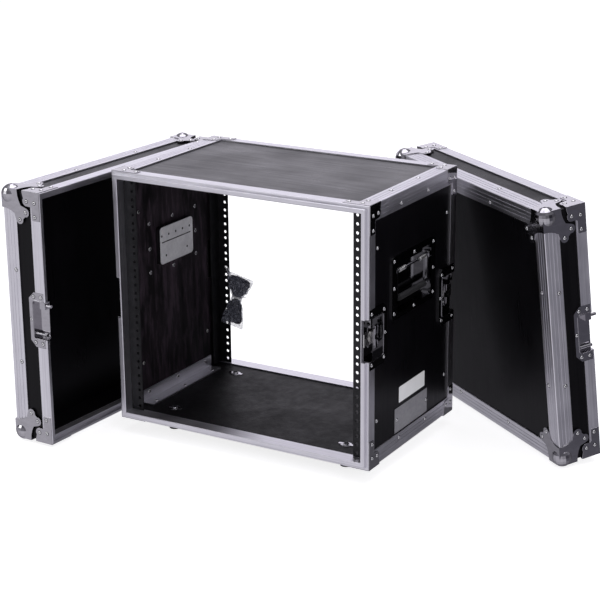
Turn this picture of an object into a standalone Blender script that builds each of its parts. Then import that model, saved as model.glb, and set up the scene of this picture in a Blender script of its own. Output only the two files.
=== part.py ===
"""A ten-unit rack flight case with its two lift-off lids standing beside it.

The case is built in its own frame: X across the front, Y from the front opening to the rear one,
Z up from the underside. Each lid is built in a lid frame: X across, Y from the open rim to the
outer face, Z up. Three empties carry these frames, and the last step sets the whole arrangement
with the centre of its footprint at the origin.
"""
import math

import bmesh
import bpy
from mathutils import Matrix, Vector

MM = 0.001

# The case, over its aluminium edges.
CASE_W = 528 * MM
CASE_D = 338 * MM
CASE_H = 476 * MM
LID_D = 86 * MM
GAP = 0.3 * MM          # between pieces that touch
SHARP_ANGLE = math.radians(30)

# Plywood and aluminium stock.
PLY_T = 9 * MM
METAL_T = 2 * MM
SKIN = METAL_T + GAP    # from the outside of the edges to the plywood
ANGLE_LEG = 30 * MM     # legs of the edge angles
RIM_LEG = 22 * MM       # flanges of the rim extrusions
RIM_IN = SKIN + PLY_T + GAP
RIM_W = RIM_IN + METAL_T
TONGUE_IN = 5 * MM      # the tongue starts this far in from the outside
TONGUE_H = 5.5 * MM
TONGUE_FIT = 0.4 * MM
SOFTEN = 1 * MM         # small chamfer on extrusion edges
GROOVE_W = 1.4 * MM
GROOVE_H = 0.5 * MM
GROOVES_AT = (8 * MM, 15 * MM, 22 * MM)

# Rack rails: three holes to each 44.45 mm unit.
UNIT = 44.45 * MM
UNITS = 10
HOLES_IN_UNIT = (6.35 * MM, 22.225 * MM, 38.1 * MM)
HOLE_R = 3.2 * MM
HOLE_SIDES = 8
HOLE_SPREAD = 465.1 * MM
RAIL_SETBACK = 16 * MM
RAIL_INNER_X = 225 * MM
RAIL_SIDE = 30 * MM
RAIL_T = 2 * MM
RAIL_OUTER_X = CASE_W / 2 - RIM_W - GAP

# Inner angles along the floor.
FLOOR_ANGLE_LEG = 25 * MM
FLOOR_ANGLE_START = 52 * MM

# Rubber feet under the floor, at the floor's four bolts.
FOOT_H = 28 * MM
FOOT_R = (16 * MM, 11 * MM)
FOOT_X = 186 * MM
FOOT_INSET = 62 * MM
FOOT_SIDES = 20

# Side handles.
HANDLE_Z = 307 * MM
HANDLE_PLATE = (168 * MM, 116 * MM, 10 * MM)
HANDLE_STEP = (134 * MM, 94 * MM, 8 * MM)
HANDLE_POCKET = (107 * MM, 71 * MM, 5 * MM)
HANDLE_WALL = 1 * MM
STEP_DEPTH = 8.5 * MM
POCKET_DEPTH = 18.5 * MM
PIVOT_Z = 27 * MM       # above the middle of the handle
PIVOT_DEPTH = 5.2 * MM
BAIL_DROP = 51 * MM
BAIL_HALF = 60.5 * MM
ARM_T = 4 * MM
ARM_W = 5.6 * MM
ROD_R = 2.5 * MM
GRIP_R = 5.75 * MM
GRIP_HALF = 50 * MM
ROUND_SIDES = 14
ARC_STEPS = 6

# Twist latches, in a frame whose X runs from the rim plane into the case.
LATCH_Z = 238 * MM
LATCH_PLATE_X = (3.3 * MM, 66 * MM)
LATCH_PLATE_HALF = 54.5 * MM
LATCH_CUP_X = (0.3 * MM, 53.2 * MM)
LATCH_CUP_HALF = 38.2 * MM
LATCH_WALL = 1 * MM
LATCH_DEPTH = RIM_IN - GAP      # from the outside of the edges to the back of the cup
LATCH_CLIP = 12 * MM    # clipped corners of the plate
NOTCH_FLAT = 3 * MM     # rim left standing in front of the plate
ROTOR_X = 27 * MM
ROTOR_R = 11 * MM
HUB_R = 4.5 * MM
HUB_FIT = 0.4 * MM
TONGUE_PLATE_X = (-1.5 * MM, 46 * MM)
TONGUE_PLATE_HALF = 11.5 * MM
TONGUE_SLOT = 9 * MM    # how far the slot lets the tongue travel
TONGUE_LOW = GAP        # the layers of a latch, up from the floor of its cup
TONGUE_HIGH = TONGUE_LOW + 2 * MM
DISC_LOW = TONGUE_HIGH + GAP
DISC_HIGH = DISC_LOW + 2 * MM
KEY_LOW = DISC_HIGH + GAP
KEY_HIGH = KEY_LOW + 2.5 * MM
KEY_HALF = 21 * MM
KEY_REACH = 14 * MM
KEY_WAIST = 9 * MM
KEY_TIP = 0.6           # share of the reach where a wing's tip is centred
KEY_TIP_STEPS = 4
SOCKET_X = (8.5 * MM, 10.5 * MM)        # the drilled square that takes the lid's pin
SOCKET_Z = (22 * MM, 36 * MM)
SOCKET_HOLE_R = 3.4 * MM

# Keepers on the lids, in the same frame as the latches but for the lid's rim.
KEEPER_PLATE_X = 38 * MM
KEEPER_PLATE_HALF = 52 * MM
KEEPER_CUP_X = 30 * MM
KEEPER_CUP_HALF = 36 * MM
PIN_R = 2.9 * MM
PIN_X = (-10 * MM, 7 * MM)
PIN_BLOCK_X = (1.8 * MM, 14 * MM)
HOOK_BAR_R = 3 * MM
HOOK_BAR_Z = -27 * MM

# Ball corners of the lids.
BALL_R = 18.5 * MM
BALL_IN = 11.2 * MM
CORNER_CUT = 3.4 * MM   # the facet on a frame's corner, which lets the ball cover it
LEAF_T = 1.5 * MM
LEAF_EDGE = 35 * MM
LEAF_SWEEP = 51 * MM    # radius of the hollow curve from the edge out to a lobe
SWEEP_STEPS = 3
LEAF_TIP = 10 * MM      # the leaves' corner is cut off here, under the ball
LOBE_FAR = 53 * MM
LOBE_NEAR = 39 * MM
LOBE_R = 8.5 * MM
LOBE_STEPS = 5
BALL_SIDES = 18
BALL_RINGS = 11

# Name plate, blank.
PLATE_Y = (102 * MM, 230 * MM)
PLATE_Z = (33 * MM, 79 * MM)
PLATE_T = 0.8 * MM

# Bag of rack screws, tied at its waist and hung on a rear rail.
BAG_TOP = Vector((-0.1890, 0.1375, 0.2070))
BAG_AXIS = Vector((-0.22, 0.0, -1.0))
BAG_LENGTH = 110 * MM
BAG_SIDES = 14
BAG_SHAPE = ((0.00, 28, 4), (0.10, 28, 7), (0.28, 20, 9), (0.40, 10, 5), (0.47, 9, 5),
             (0.66, 16, 9), (0.90, 22, 8), (1.00, 23, 4))

# Where the lids stand, in the case's frame: rim plane's bottom middle, turn and lean.
LID_CLEAR = BALL_R - BALL_IN
FRONT_LID_X = -311.3 * MM
FRONT_LID_Y = -38.8 * MM
FRONT_LID_TURN = math.radians(87.3)
REAR_LID_X = 361.9 * MM
REAR_LID_Y = 283.4 * MM
REAR_LID_TURN = math.radians(145.3)
REAR_LID_LEAN = math.radians(6.9)

SIDES = (("left", -1), ("right", 1))
ENDS = (("front", -1), ("rear", 1))
LEVELS = (("bottom", 0), ("top", 1))

PALETTE = {
    "aluminium": ((0.62, 0.62, 0.65), 0.34, 1.0),
    "black_laminate": ((0.012, 0.012, 0.014), 0.30, 0.0),
    "plywood": ((0.030, 0.024, 0.026), 0.55, 0.0),
    "chrome": ((0.72, 0.72, 0.74), 0.10, 1.0),
    "zinc": ((0.58, 0.58, 0.60), 0.40, 1.0),
    "black_steel": ((0.020, 0.020, 0.022), 0.42, 0.4),
    "rubber": ((0.018, 0.018, 0.018), 0.80, 0.0),
    "clear_film": ((0.55, 0.56, 0.62), 0.20, 0.0),
}


# ---------------------------------------------------------------- basic tools

def clear_scene():
    for obj in list(bpy.data.objects):
        bpy.data.objects.remove(obj, do_unlink=True)


def material(name):
    found = bpy.data.materials.get(name)
    if found:
        return found
    colour, roughness, metallic = PALETTE[name]
    made = bpy.data.materials.new(name)
    made.use_nodes = True
    shader = made.node_tree.nodes["Principled BSDF"]
    shader.inputs["Base Color"].default_value = (*colour, 1.0)
    shader.inputs["Roughness"].default_value = roughness
    shader.inputs["Metallic"].default_value = metallic
    return made


def frame_empty(name):
    empty = bpy.data.objects.new(name, None)
    bpy.context.collection.objects.link(empty)
    return empty


def make_object(name, bm, finish, parent=None):
    bmesh.ops.recalc_face_normals(bm, faces=bm.faces)
    mesh = bpy.data.meshes.new(name)
    bm.to_mesh(mesh)
    bm.free()
    obj = bpy.data.objects.new(name, mesh)
    mesh.materials.append(material(finish))
    bpy.context.collection.objects.link(obj)
    obj.parent = parent
    return obj


def shade_round(obj):
    """Smooth shading that keeps every edge sharper than a round piece's own facets."""
    obj.data.shade_smooth()
    obj.data.set_sharp_from_angle(angle=SHARP_ANGLE)


def add_prism(bm, outline, place):
    """A closed prism: place(u, v, 0) and place(u, v, 1) map the outline to its two ends."""
    ends = [[bm.verts.new(place(u, v, end)) for u, v in outline] for end in (0, 1)]
    bm.faces.new(ends[0])
    bm.faces.new(list(reversed(ends[1])))
    count = len(outline)
    for i in range(count):
        j = (i + 1) % count
        bm.faces.new((ends[0][i], ends[1][i], ends[1][j], ends[0][j]))
    return bm


def prism(axis, outline, low, high):
    """A prism along x, y or z. The outline lies in the two other axes, in x, y, z order."""
    span = (low, high)

    def place(u, v, end):
        if axis == "x":
            return (span[end], u, v)
        if axis == "y":
            return (u, span[end], v)
        return (u, v, span[end])

    return add_prism(bmesh.new(), outline, place)


def box(low, high):
    outline = [(low[0], low[1]), (high[0], low[1]), (high[0], high[1]), (low[0], high[1])]
    return prism("z", outline, low[2], high[2])


def circle(centre, radius, sides, turn=0.5):
    steps = [2 * math.pi * (i + turn) / sides for i in range(sides)]
    return [(centre[0] + radius * math.cos(a), centre[1] + radius * math.sin(a)) for a in steps]


def arc(centre, radius, start, end, steps):
    angles = [math.radians(start + (end - start) * i / steps) for i in range(steps + 1)]
    return [(centre[0] + radius * math.cos(a), centre[1] + radius * math.sin(a)) for a in angles]


def rounded_rectangle(centre, width, height, radius, steps=3):
    points = []
    for sign_u, sign_v, start in ((1, 1, 0), (-1, 1, 90), (-1, -1, 180), (1, -1, 270)):
        corner = (centre[0] + sign_u * (width / 2 - radius), centre[1] + sign_v * (height / 2 - radius))
        points += arc(corner, radius, start, start + 90, steps)
    return points


def combine(target, tool_bm, operation):
    """Boolean a bmesh into an object's mesh and drop the tool."""
    finish = target.data.materials[0].name
    tool = make_object(target.name + "_tool", tool_bm, finish, target.parent)
    modifier = target.modifiers.new("combine", "BOOLEAN")
    modifier.operation = operation
    modifier.solver = "EXACT"
    modifier.object = tool
    depsgraph = bpy.context.evaluated_depsgraph_get()
    result = bpy.data.meshes.new_from_object(target.evaluated_get(depsgraph))
    target.modifiers.clear()
    target.data = result
    bpy.data.objects.remove(tool, do_unlink=True)


def solid(name, bm, finish, parent, adds=(), cuts=(), last_adds=(), last_cuts=(), is_round=False):
    """An object from one bmesh. Others are added and cut, then a second set is added and cut."""
    obj = make_object(name, bm, finish, parent)
    steps = ((adds, "UNION"), (cuts, "DIFFERENCE"), (last_adds, "UNION"), (last_cuts, "DIFFERENCE"))
    for pieces, operation in steps:
        for piece in pieces:
            combine(obj, piece, operation)
    if is_round:
        shade_round(obj)
    return obj


def mirrored(bm, sign_x, sign_y, sign_z=1):
    """Mirror a bmesh about the frame's planes, keeping its faces outward."""
    bmesh.ops.scale(bm, vec=(sign_x, sign_y, sign_z), verts=bm.verts)
    if sign_x * sign_y * sign_z < 0:
        bmesh.ops.reverse_faces(bm, faces=bm.faces)
    return bm


def moved(bm, offset):
    bmesh.ops.translate(bm, vec=offset, verts=bm.verts)
    return bm


# ---------------------------------------------------------------- extrusions

def mitred_ring(profile, depth_to_y):
    """A frame round the case's outline, mitred at its corners, from a profile of (inset, depth)."""
    bm = bmesh.new()
    rings = []
    for sign_x, top in ((-1, 0), (1, 0), (1, 1), (-1, 1)):
        ring = []
        for inset, depth in profile:
            z = CASE_H - inset if top else inset
            ring.append(bm.verts.new((sign_x * (CASE_W / 2 - inset), depth_to_y(depth), z)))
        rings.append(ring)
    count = len(profile)
    for k in range(4):
        here, after = rings[k], rings[(k + 1) % 4]
        for i in range(count):
            j = (i + 1) % count
            bm.faces.new((here[i], after[i], after[j], here[j]))
    return bm


def leg_with_grooves(length):
    """Points along one leg of an angle, as (distance, sink), with its shallow grooves."""
    points = []
    for centre in GROOVES_AT:
        if centre + GROOVE_W < length:
            points += [(centre - GROOVE_W / 2, 0), (centre - GROOVE_W / 2, GROOVE_H),
                       (centre + GROOVE_W / 2, GROOVE_H), (centre + GROOVE_W / 2, 0)]
    return points


def angle_profile(leg):
    """An equal angle with a softened outer corner and grooved outer faces."""
    along = leg_with_grooves(leg)
    first = [(leg, 0)] + [(distance, sink) for distance, sink in reversed(along)]
    second = [(sink, distance) for distance, sink in along] + [(0, leg)]
    inner = [(METAL_T, leg), (METAL_T, METAL_T), (leg, METAL_T)]
    return first + [(SOFTEN, 0), (0, SOFTEN)] + second + inner


def case_rim_profile():
    """The rim with a tongue, which wraps the panels' edges."""
    return [(0, RIM_LEG), (0, SOFTEN), (SOFTEN, 0), (TONGUE_IN, 0), (TONGUE_IN, SOFTEN - TONGUE_H),
            (TONGUE_IN + SOFTEN, -TONGUE_H), (RIM_W - SOFTEN, -TONGUE_H), (RIM_W, SOFTEN - TONGUE_H),
            (RIM_W, RIM_LEG), (RIM_IN, RIM_LEG), (RIM_IN, SKIN), (METAL_T, SKIN), (METAL_T, RIM_LEG)]


LID_RECESS = TONGUE_H + TONGUE_FIT


def lid_rim_profile():
    """The rim with the groove that the case's tongue enters."""
    lip = TONGUE_IN - TONGUE_FIT
    web = LID_RECESS + METAL_T
    return [(0, RIM_LEG), (0, SOFTEN), (SOFTEN, 0), (lip, 0), (lip, LID_RECESS), (RIM_W, LID_RECESS),
            (RIM_W, RIM_LEG), (RIM_IN, RIM_LEG), (RIM_IN, web), (METAL_T, web), (METAL_T, RIM_LEG)]


# ---------------------------------------------------------------- the case's shell

def end_y(sign_y, distance):
    """The Y of a point that lies a distance inside the front or the rear plane."""
    return sign_y * (CASE_D / 2 - distance)


def ordered(a, b):
    return (min(a, b), max(a, b))


def latch_panel_cut(sign_x, sign_y):
    """The pocket in a side panel that takes a latch's cup."""
    y_low, y_high = ordered(end_y(sign_y, -SKIN), end_y(sign_y, LATCH_CUP_X[1] + GAP))
    x_low, x_high = ordered(sign_x * (CASE_W / 2 - SKIN - 2 * PLY_T), sign_x * (CASE_W / 2 + SKIN))
    reach = LATCH_CUP_HALF + GAP
    return box((x_low, y_low, LATCH_Z - reach), (x_high, y_high, LATCH_Z + reach))


def handle_outline(size, grow=0.0):
    width, height, radius = size
    return rounded_rectangle((0, HANDLE_Z), width + 2 * grow, height + 2 * grow, radius + grow)


def build_panels(case):
    y_low, y_high = end_y(-1, SKIN + GAP), end_y(1, SKIN + GAP)
    inner_x = CASE_W / 2 - SKIN - PLY_T
    for level, top in LEVELS:
        z_low = CASE_H - SKIN - PLY_T if top else SKIN
        name = "top_panel" if top else "floor_panel"
        x = inner_x - GAP
        solid(name, box((-x, y_low, z_low), (x, y_high, z_low + PLY_T)), "black_laminate", case)
    for side, sign in SIDES:
        x_low, x_high = ordered(sign * inner_x, sign * (inner_x + PLY_T))
        panel = box((x_low, y_low, SKIN), (x_high, y_high, CASE_H - SKIN))
        cuts = [latch_panel_cut(sign, sign_y) for end, sign_y in ENDS]
        around = HANDLE_WALL + GAP
        cuts.append(prism("x", handle_outline(HANDLE_POCKET, around), x_low - PLY_T, x_high + PLY_T))
        recess = ordered(sign * (CASE_W / 2 - STEP_DEPTH - around), sign * (CASE_W / 2 + SKIN))
        cuts.append(prism("x", handle_outline(HANDLE_STEP, around), *recess))
        solid(side + "_side_panel", panel, "black_laminate", case, cuts=cuts)


def rim_fitting_cuts(depth_to_y, plate_half, cup_half):
    """Cuts in a rim for the cups and plates of the fittings on its two sides."""
    cuts = []
    for side, sign in SIDES:
        deep = ordered(sign * (CASE_W / 2 - RIM_IN), sign * (CASE_W / 2 + SKIN))
        y = ordered(depth_to_y(-2 * TONGUE_H), depth_to_y(RIM_LEG + SKIN))
        reach = cup_half + GAP
        cuts.append(box((deep[0], y[0], LATCH_Z - reach), (deep[1], y[1], LATCH_Z + reach)))
        shallow = ordered(sign * (CASE_W / 2 - SKIN), sign * (CASE_W / 2 + SKIN))
        y = ordered(depth_to_y(NOTCH_FLAT), depth_to_y(RIM_LEG + SKIN))
        reach = plate_half + GAP
        cuts.append(box((shallow[0], y[0], LATCH_Z - reach), (shallow[1], y[1], LATCH_Z + reach)))
    return cuts


def build_case_rim(case, end, sign_y):
    def depth_to_y(depth):
        return end_y(sign_y, depth)

    ring = mitred_ring(case_rim_profile(), depth_to_y)
    cuts = rim_fitting_cuts(depth_to_y, LATCH_PLATE_HALF, LATCH_CUP_HALF)
    solid(end + "_rim", ring, "aluminium", case, cuts=cuts)


def build_edge_angles(case):
    """Four angles along the case's depth, between the two rims."""
    y_low, y_high = end_y(-1, RIM_LEG + GAP), end_y(1, RIM_LEG + GAP)
    for level, top in LEVELS:
        for side, sign in SIDES:
            outline = []
            for inset_x, inset_z in angle_profile(ANGLE_LEG):
                z = CASE_H - inset_z if top else inset_z
                outline.append((sign * (CASE_W / 2 - inset_x), z))
            bm = prism("y", outline, y_low, y_high)
            solid("%s_%s_edge_angle" % (level, side), bm, "aluminium", case)


def build_floor_angles(case):
    """Plain angles inside, which tie the floor to the sides."""
    inner = CASE_W / 2 - SKIN - PLY_T - GAP
    floor = SKIN + PLY_T + GAP
    for side, sign in SIDES:
        outline = [(0, 0), (FLOOR_ANGLE_LEG, 0), (FLOOR_ANGLE_LEG, METAL_T), (METAL_T, METAL_T),
                   (METAL_T, FLOOR_ANGLE_LEG), (0, FLOOR_ANGLE_LEG)]
        outline = [(sign * (inner - u), floor + v) for u, v in outline]
        y = FLOOR_ANGLE_START
        bm = prism("y", outline, end_y(-1, y), end_y(1, y))
        solid(side + "_floor_angle", bm, "aluminium", case)


# ---------------------------------------------------------------- rack rails

def build_rail(case, name, sign_x, sign_y):
    """An L-shaped rail whose front face carries the row of rack holes."""
    z_low, z_high = RIM_W + GAP, CASE_H - RIM_W - GAP
    face = end_y(sign_y, RAIL_SETBACK)
    back = end_y(sign_y, RAIL_SETBACK + RAIL_T)
    side = end_y(sign_y, RAIL_SETBACK + RAIL_SIDE)
    outline = [(RAIL_INNER_X, face), (RAIL_OUTER_X, face), (RAIL_OUTER_X, side),
               (RAIL_OUTER_X - RAIL_T, side), (RAIL_OUTER_X - RAIL_T, back), (RAIL_INNER_X, back)]
    outline = [(sign_x * x, y) for x, y in outline]
    first = CASE_H / 2 - UNITS * UNIT / 2
    through = ordered(face + sign_y * RAIL_T, back - sign_y * RAIL_T)
    holes = bmesh.new()
    for unit in range(UNITS):
        for height in HOLES_IN_UNIT:
            centre = (sign_x * HOLE_SPREAD / 2, first + unit * UNIT + height)
            hole = circle(centre, HOLE_R, HOLE_SIDES)
            add_prism(holes, hole, lambda u, v, end: (u, through[end], v))
    solid(name, prism("z", outline, z_low, z_high), "black_steel", case, cuts=(holes,))


def build_rails(case):
    for end, sign_y in ENDS:
        for side, sign_x in SIDES:
            build_rail(case, "%s_%s_rack_rail" % (end, side), sign_x, sign_y)


# ---------------------------------------------------------------- feet, plate and bag

def build_feet(case):
    for end, sign_y in ENDS:
        for side, sign_x in SIDES:
            centre = (sign_x * FOOT_X, end_y(sign_y, FOOT_INSET))
            bm = bmesh.new()
            wide = circle(centre, FOOT_R[0], FOOT_SIDES)
            narrow = circle(centre, FOOT_R[1], FOOT_SIDES)
            top = [bm.verts.new((x, y, SKIN - GAP)) for x, y in wide]
            low = [bm.verts.new((x, y, -FOOT_H)) for x, y in narrow]
            bm.faces.new(top)
            bm.faces.new(low)
            for i in range(FOOT_SIDES):
                j = (i + 1) % FOOT_SIDES
                bm.faces.new((top[i], top[j], low[j], low[i]))
            solid("%s_%s_foot" % (end, side), bm, "rubber", case, is_round=True)


def build_name_plate(case):
    x = CASE_W / 2 - SKIN + GAP
    low = (x, end_y(-1, PLATE_Y[0]), PLATE_Z[0])
    high = (x + PLATE_T, end_y(-1, PLATE_Y[1]), PLATE_Z[1])
    solid("name_plate", box(low, high), "zinc", case)


def build_screw_bag(case):
    """A tied bag: oval rings along its slanting axis, narrow at the waist."""
    axis = BAG_AXIS.normalized()
    across = axis.cross(Vector((0, 1, 0))).normalized()
    deep = axis.cross(across).normalized()
    bm = bmesh.new()
    rings = []
    for along, half_width, half_depth in BAG_SHAPE:
        centre = BAG_TOP + axis * (along * BAG_LENGTH)
        outline = circle((0, 0), 1, BAG_SIDES)
        rings.append([bm.verts.new(centre + across * (u * half_width * MM) + deep * (v * half_depth * MM))
                      for u, v in outline])
    for here, after in zip(rings, rings[1:]):
        for i in range(BAG_SIDES):
            j = (i + 1) % BAG_SIDES
            bm.faces.new((here[i], here[j], after[j], after[i]))
    bm.faces.new(rings[0])
    bm.faces.new(rings[-1])
    solid("screw_bag", bm, "clear_film", case, is_round=True)


# ---------------------------------------------------------------- side handles

def build_handle(case, side, sign):
    """A stepped pressed dish in the side panel, and its bail on a rod near the top."""
    outer = CASE_W / 2

    def slab(size, grow, deep, shallow):
        x_low, x_high = ordered(sign * (outer - deep), sign * (outer - shallow))
        return prism("x", handle_outline(size, grow), x_low, x_high)

    plate = slab(HANDLE_PLATE, 0, METAL_T, 0)
    step = slab(HANDLE_STEP, HANDLE_WALL, STEP_DEPTH + HANDLE_WALL, METAL_T / 2)
    pocket = slab(HANDLE_POCKET, HANDLE_WALL, POCKET_DEPTH + HANDLE_WALL, STEP_DEPTH)
    step_room = slab(HANDLE_STEP, 0, STEP_DEPTH, -METAL_T)
    pocket_room = slab(HANDLE_POCKET, 0, POCKET_DEPTH, STEP_DEPTH / 2)
    solid(side + "_handle_dish", plate, "chrome", case, adds=(step, pocket),
          cuts=(step_room, pocket_room), is_round=True)

    # The bail is made about its own pivot: the rod lies along Y through the origin.
    half_arm = ARM_W / 2
    inner = BAIL_HALF - ARM_T
    rod_half = BAIL_HALF - ARM_T / 2
    rod = prism("y", circle((0, 0), ROD_R, ROUND_SIDES), -rod_half, rod_half)
    bar = prism("y", circle((0, -BAIL_DROP), ROD_R, ROUND_SIDES), -rod_half, rod_half)
    grip = prism("y", circle((0, -BAIL_DROP), GRIP_R, ROUND_SIDES), -GRIP_HALF, GRIP_HALF)
    arms = []
    for sign_y in (-1, 1):
        low, high = ordered(sign_y * inner, sign_y * BAIL_HALF)
        upper = arc((0, 0), half_arm, 0, 180, ARC_STEPS)
        lower = arc((0, -BAIL_DROP), half_arm, 180, 360, ARC_STEPS)
        arms.append(prism("y", upper + lower, low, high))
    bail = solid(side + "_handle_bail", grip, "black_steel", case, adds=(bar, rod, *arms), is_round=True)
    bail.location = (sign * (outer - PIVOT_DEPTH), 0, HANDLE_Z + PIVOT_Z)


# ---------------------------------------------------------------- twist latches

def fitting_plate(start, end, half, clip, outer, back):
    """A flat plate with clipped corners on its far side, in a fitting's frame."""
    outline = [(start, -half), (end - clip, -half), (end, clip - half), (end, half - clip),
               (end - clip, half), (start, half)]
    return prism("x", outline, outer, back)


def cup_floor():
    """How far the floor of a latch's cup lies below the outside of the edges."""
    return LATCH_DEPTH - LATCH_WALL


def pin_place():
    """Where the lid's pin enters: its distance below the outside, and its height in the frame."""
    return (-cup_floor() / 2, (SOCKET_Z[0] + SOCKET_Z[1]) / 2)


def latch_dish():
    """The pressed dish: plate, cup open at the rim, and the drilled square that takes the lid's pin."""
    plate = fitting_plate(LATCH_PLATE_X[0], LATCH_PLATE_X[1], LATCH_PLATE_HALF, LATCH_CLIP, -METAL_T, 0)
    cup = box((-LATCH_DEPTH, LATCH_CUP_X[0], -LATCH_CUP_HALF),
              (-METAL_T / 2, LATCH_CUP_X[1], LATCH_CUP_HALF))
    room = box((-cup_floor(), -LATCH_CUP_X[1], LATCH_WALL - LATCH_CUP_HALF),
               (METAL_T, LATCH_CUP_X[1] - LATCH_WALL, LATCH_CUP_HALF - LATCH_WALL))
    socket = box((-LATCH_DEPTH + LATCH_WALL / 2, SOCKET_X[0], SOCKET_Z[0]),
                 (-METAL_T / 2, SOCKET_X[1], SOCKET_Z[1]))
    hole = prism("y", circle(pin_place(), SOCKET_HOLE_R, ROUND_SIDES), SOCKET_X[0] - GAP, SOCKET_X[1] + GAP)
    return plate, cup, room, socket, hole


def latch_rotor():
    """The disc that the key turns, on a hub that passes through the sliding tongue."""
    hub = prism("x", circle((0, 0), HUB_R, ROUND_SIDES), TONGUE_LOW, DISC_HIGH)
    disc = prism("x", circle((0, 0), ROTOR_R, 2 * ROUND_SIDES), DISC_LOW, DISC_HIGH)
    return disc, hub


def latch_key():
    """The butterfly key, flat on the disc: two rounded wings joined at a waist, hinged on Z."""
    wing = KEY_HALF - KEY_WAIST / 2
    tip = KEY_REACH * KEY_TIP
    tip_r = KEY_REACH - tip
    outline = [(0, -KEY_HALF), (KEY_REACH / 2, -KEY_HALF)]
    outline += arc((tip, -wing), tip_r, -70, 60, KEY_TIP_STEPS)
    outline += [(KEY_WAIST, -KEY_WAIST / 3), (KEY_WAIST, KEY_WAIST / 3)]
    outline += arc((tip, wing), tip_r, -60, 70, KEY_TIP_STEPS)
    outline += [(KEY_REACH / 2, KEY_HALF), (0, KEY_HALF)]
    return prism("x", outline, KEY_LOW, KEY_HIGH)


def latch_tongue():
    """The flat tongue, slotted round the hub."""
    plate = box((TONGUE_LOW, TONGUE_PLATE_X[0], -TONGUE_PLATE_HALF),
                (TONGUE_HIGH, TONGUE_PLATE_X[1], TONGUE_PLATE_HALF))
    reach = HUB_R + HUB_FIT
    slot = box((0, ROTOR_X - reach, -reach), (DISC_LOW, ROTOR_X + reach + TONGUE_SLOT, reach))
    return plate, slot


def build_latch(case, name, sign_x, sign_y):
    """One latch. Its frame has X out of the side and Y from the rim plane into the case."""
    def at_rim(bm):
        flipped = mirrored(bm, sign_x, -sign_y)
        return moved(flipped, (sign_x * CASE_W / 2, end_y(sign_y, 0), LATCH_Z))

    plate, cup, room, socket, hole = [at_rim(bm) for bm in latch_dish()]
    solid(name + "_latch_dish", plate, "chrome", case, adds=(cup,), cuts=(room,),
          last_adds=(socket,), last_cuts=(hole,))

    floor_x = sign_x * (CASE_W / 2 - cup_floor())
    hub_place = (floor_x, end_y(sign_y, ROTOR_X), LATCH_Z)

    disc, hub = [mirrored(bm, sign_x, -sign_y) for bm in latch_rotor()]
    rotor = solid(name + "_latch_rotor", disc, "zinc", case, adds=(hub,), is_round=True)
    rotor.location = hub_place

    middle = (KEY_LOW + KEY_HIGH) / 2
    key_bm = moved(latch_key(), (-middle, 0, 0))
    key = solid(name + "_latch_key", mirrored(key_bm, sign_x, -sign_y), "chrome", case, is_round=True)
    key.location = (hub_place[0] + sign_x * middle, hub_place[1], hub_place[2])

    plate, slot = [mirrored(bm, sign_x, -sign_y) for bm in latch_tongue()]
    tongue = solid(name + "_latch_tongue", plate, "zinc", case, cuts=(slot,))
    tongue.location = (floor_x, end_y(sign_y, 0), LATCH_Z)


def build_latches(case):
    for end, sign_y in ENDS:
        for side, sign_x in SIDES:
            build_latch(case, "%s_%s" % (end, side), sign_x, sign_y)


# ---------------------------------------------------------------- lids

def build_keeper(lid, name, sign_x):
    """The lid's half of a latch: a dish open at the rim, a guide pin and a hook bar."""
    def at_rim(bm):
        return moved(mirrored(bm, sign_x, 1), (sign_x * CASE_W / 2, 0, LATCH_Z))

    plate = fitting_plate(NOTCH_FLAT + GAP, KEEPER_PLATE_X, KEEPER_PLATE_HALF, LATCH_CLIP, -METAL_T, 0)
    cup = box((-LATCH_DEPTH, LATCH_CUP_X[0], -KEEPER_CUP_HALF),
              (-METAL_T / 2, KEEPER_CUP_X, KEEPER_CUP_HALF))
    room = box((-cup_floor(), -KEEPER_CUP_X, LATCH_WALL - KEEPER_CUP_HALF),
               (METAL_T, KEEPER_CUP_X - LATCH_WALL, KEEPER_CUP_HALF - LATCH_WALL))
    block = box((-LATCH_DEPTH + LATCH_WALL / 2, PIN_BLOCK_X[0], SOCKET_Z[0]),
                (-METAL_T / 2, PIN_BLOCK_X[1], KEEPER_CUP_HALF - LATCH_WALL / 2))
    pin = prism("y", circle(pin_place(), PIN_R, ROUND_SIDES), PIN_X[0], PIN_X[1])
    bar = prism("y", circle((-cup_floor() / 2, HOOK_BAR_Z), HOOK_BAR_R, ROUND_SIDES), PIN_BLOCK_X[0],
                KEEPER_CUP_X - LATCH_WALL / 2)
    solid(name, at_rim(plate), "chrome", lid, adds=(at_rim(cup),), cuts=(at_rim(room),),
          last_adds=[at_rim(extra) for extra in (block, pin, bar)], is_round=True)


def leaf_outline():
    """One leaf of a ball corner, from the corner out to two lobes, in distances from two edges."""
    far, near = LOBE_FAR, LOBE_NEAR
    skin = LEAF_T + GAP     # the leaf runs on past the edge, to meet its neighbour
    sweep = arc((LEAF_EDGE + LEAF_SWEEP, 0), LEAF_SWEEP, 180, 148, SWEEP_STEPS)
    first = sweep + arc((far, near), LOBE_R, -80, 100, LOBE_STEPS)
    half = [(LEAF_TIP, -skin), (LEAF_EDGE, -skin)] + first
    return half + [(v, u) for u, v in reversed(half)]


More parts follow.
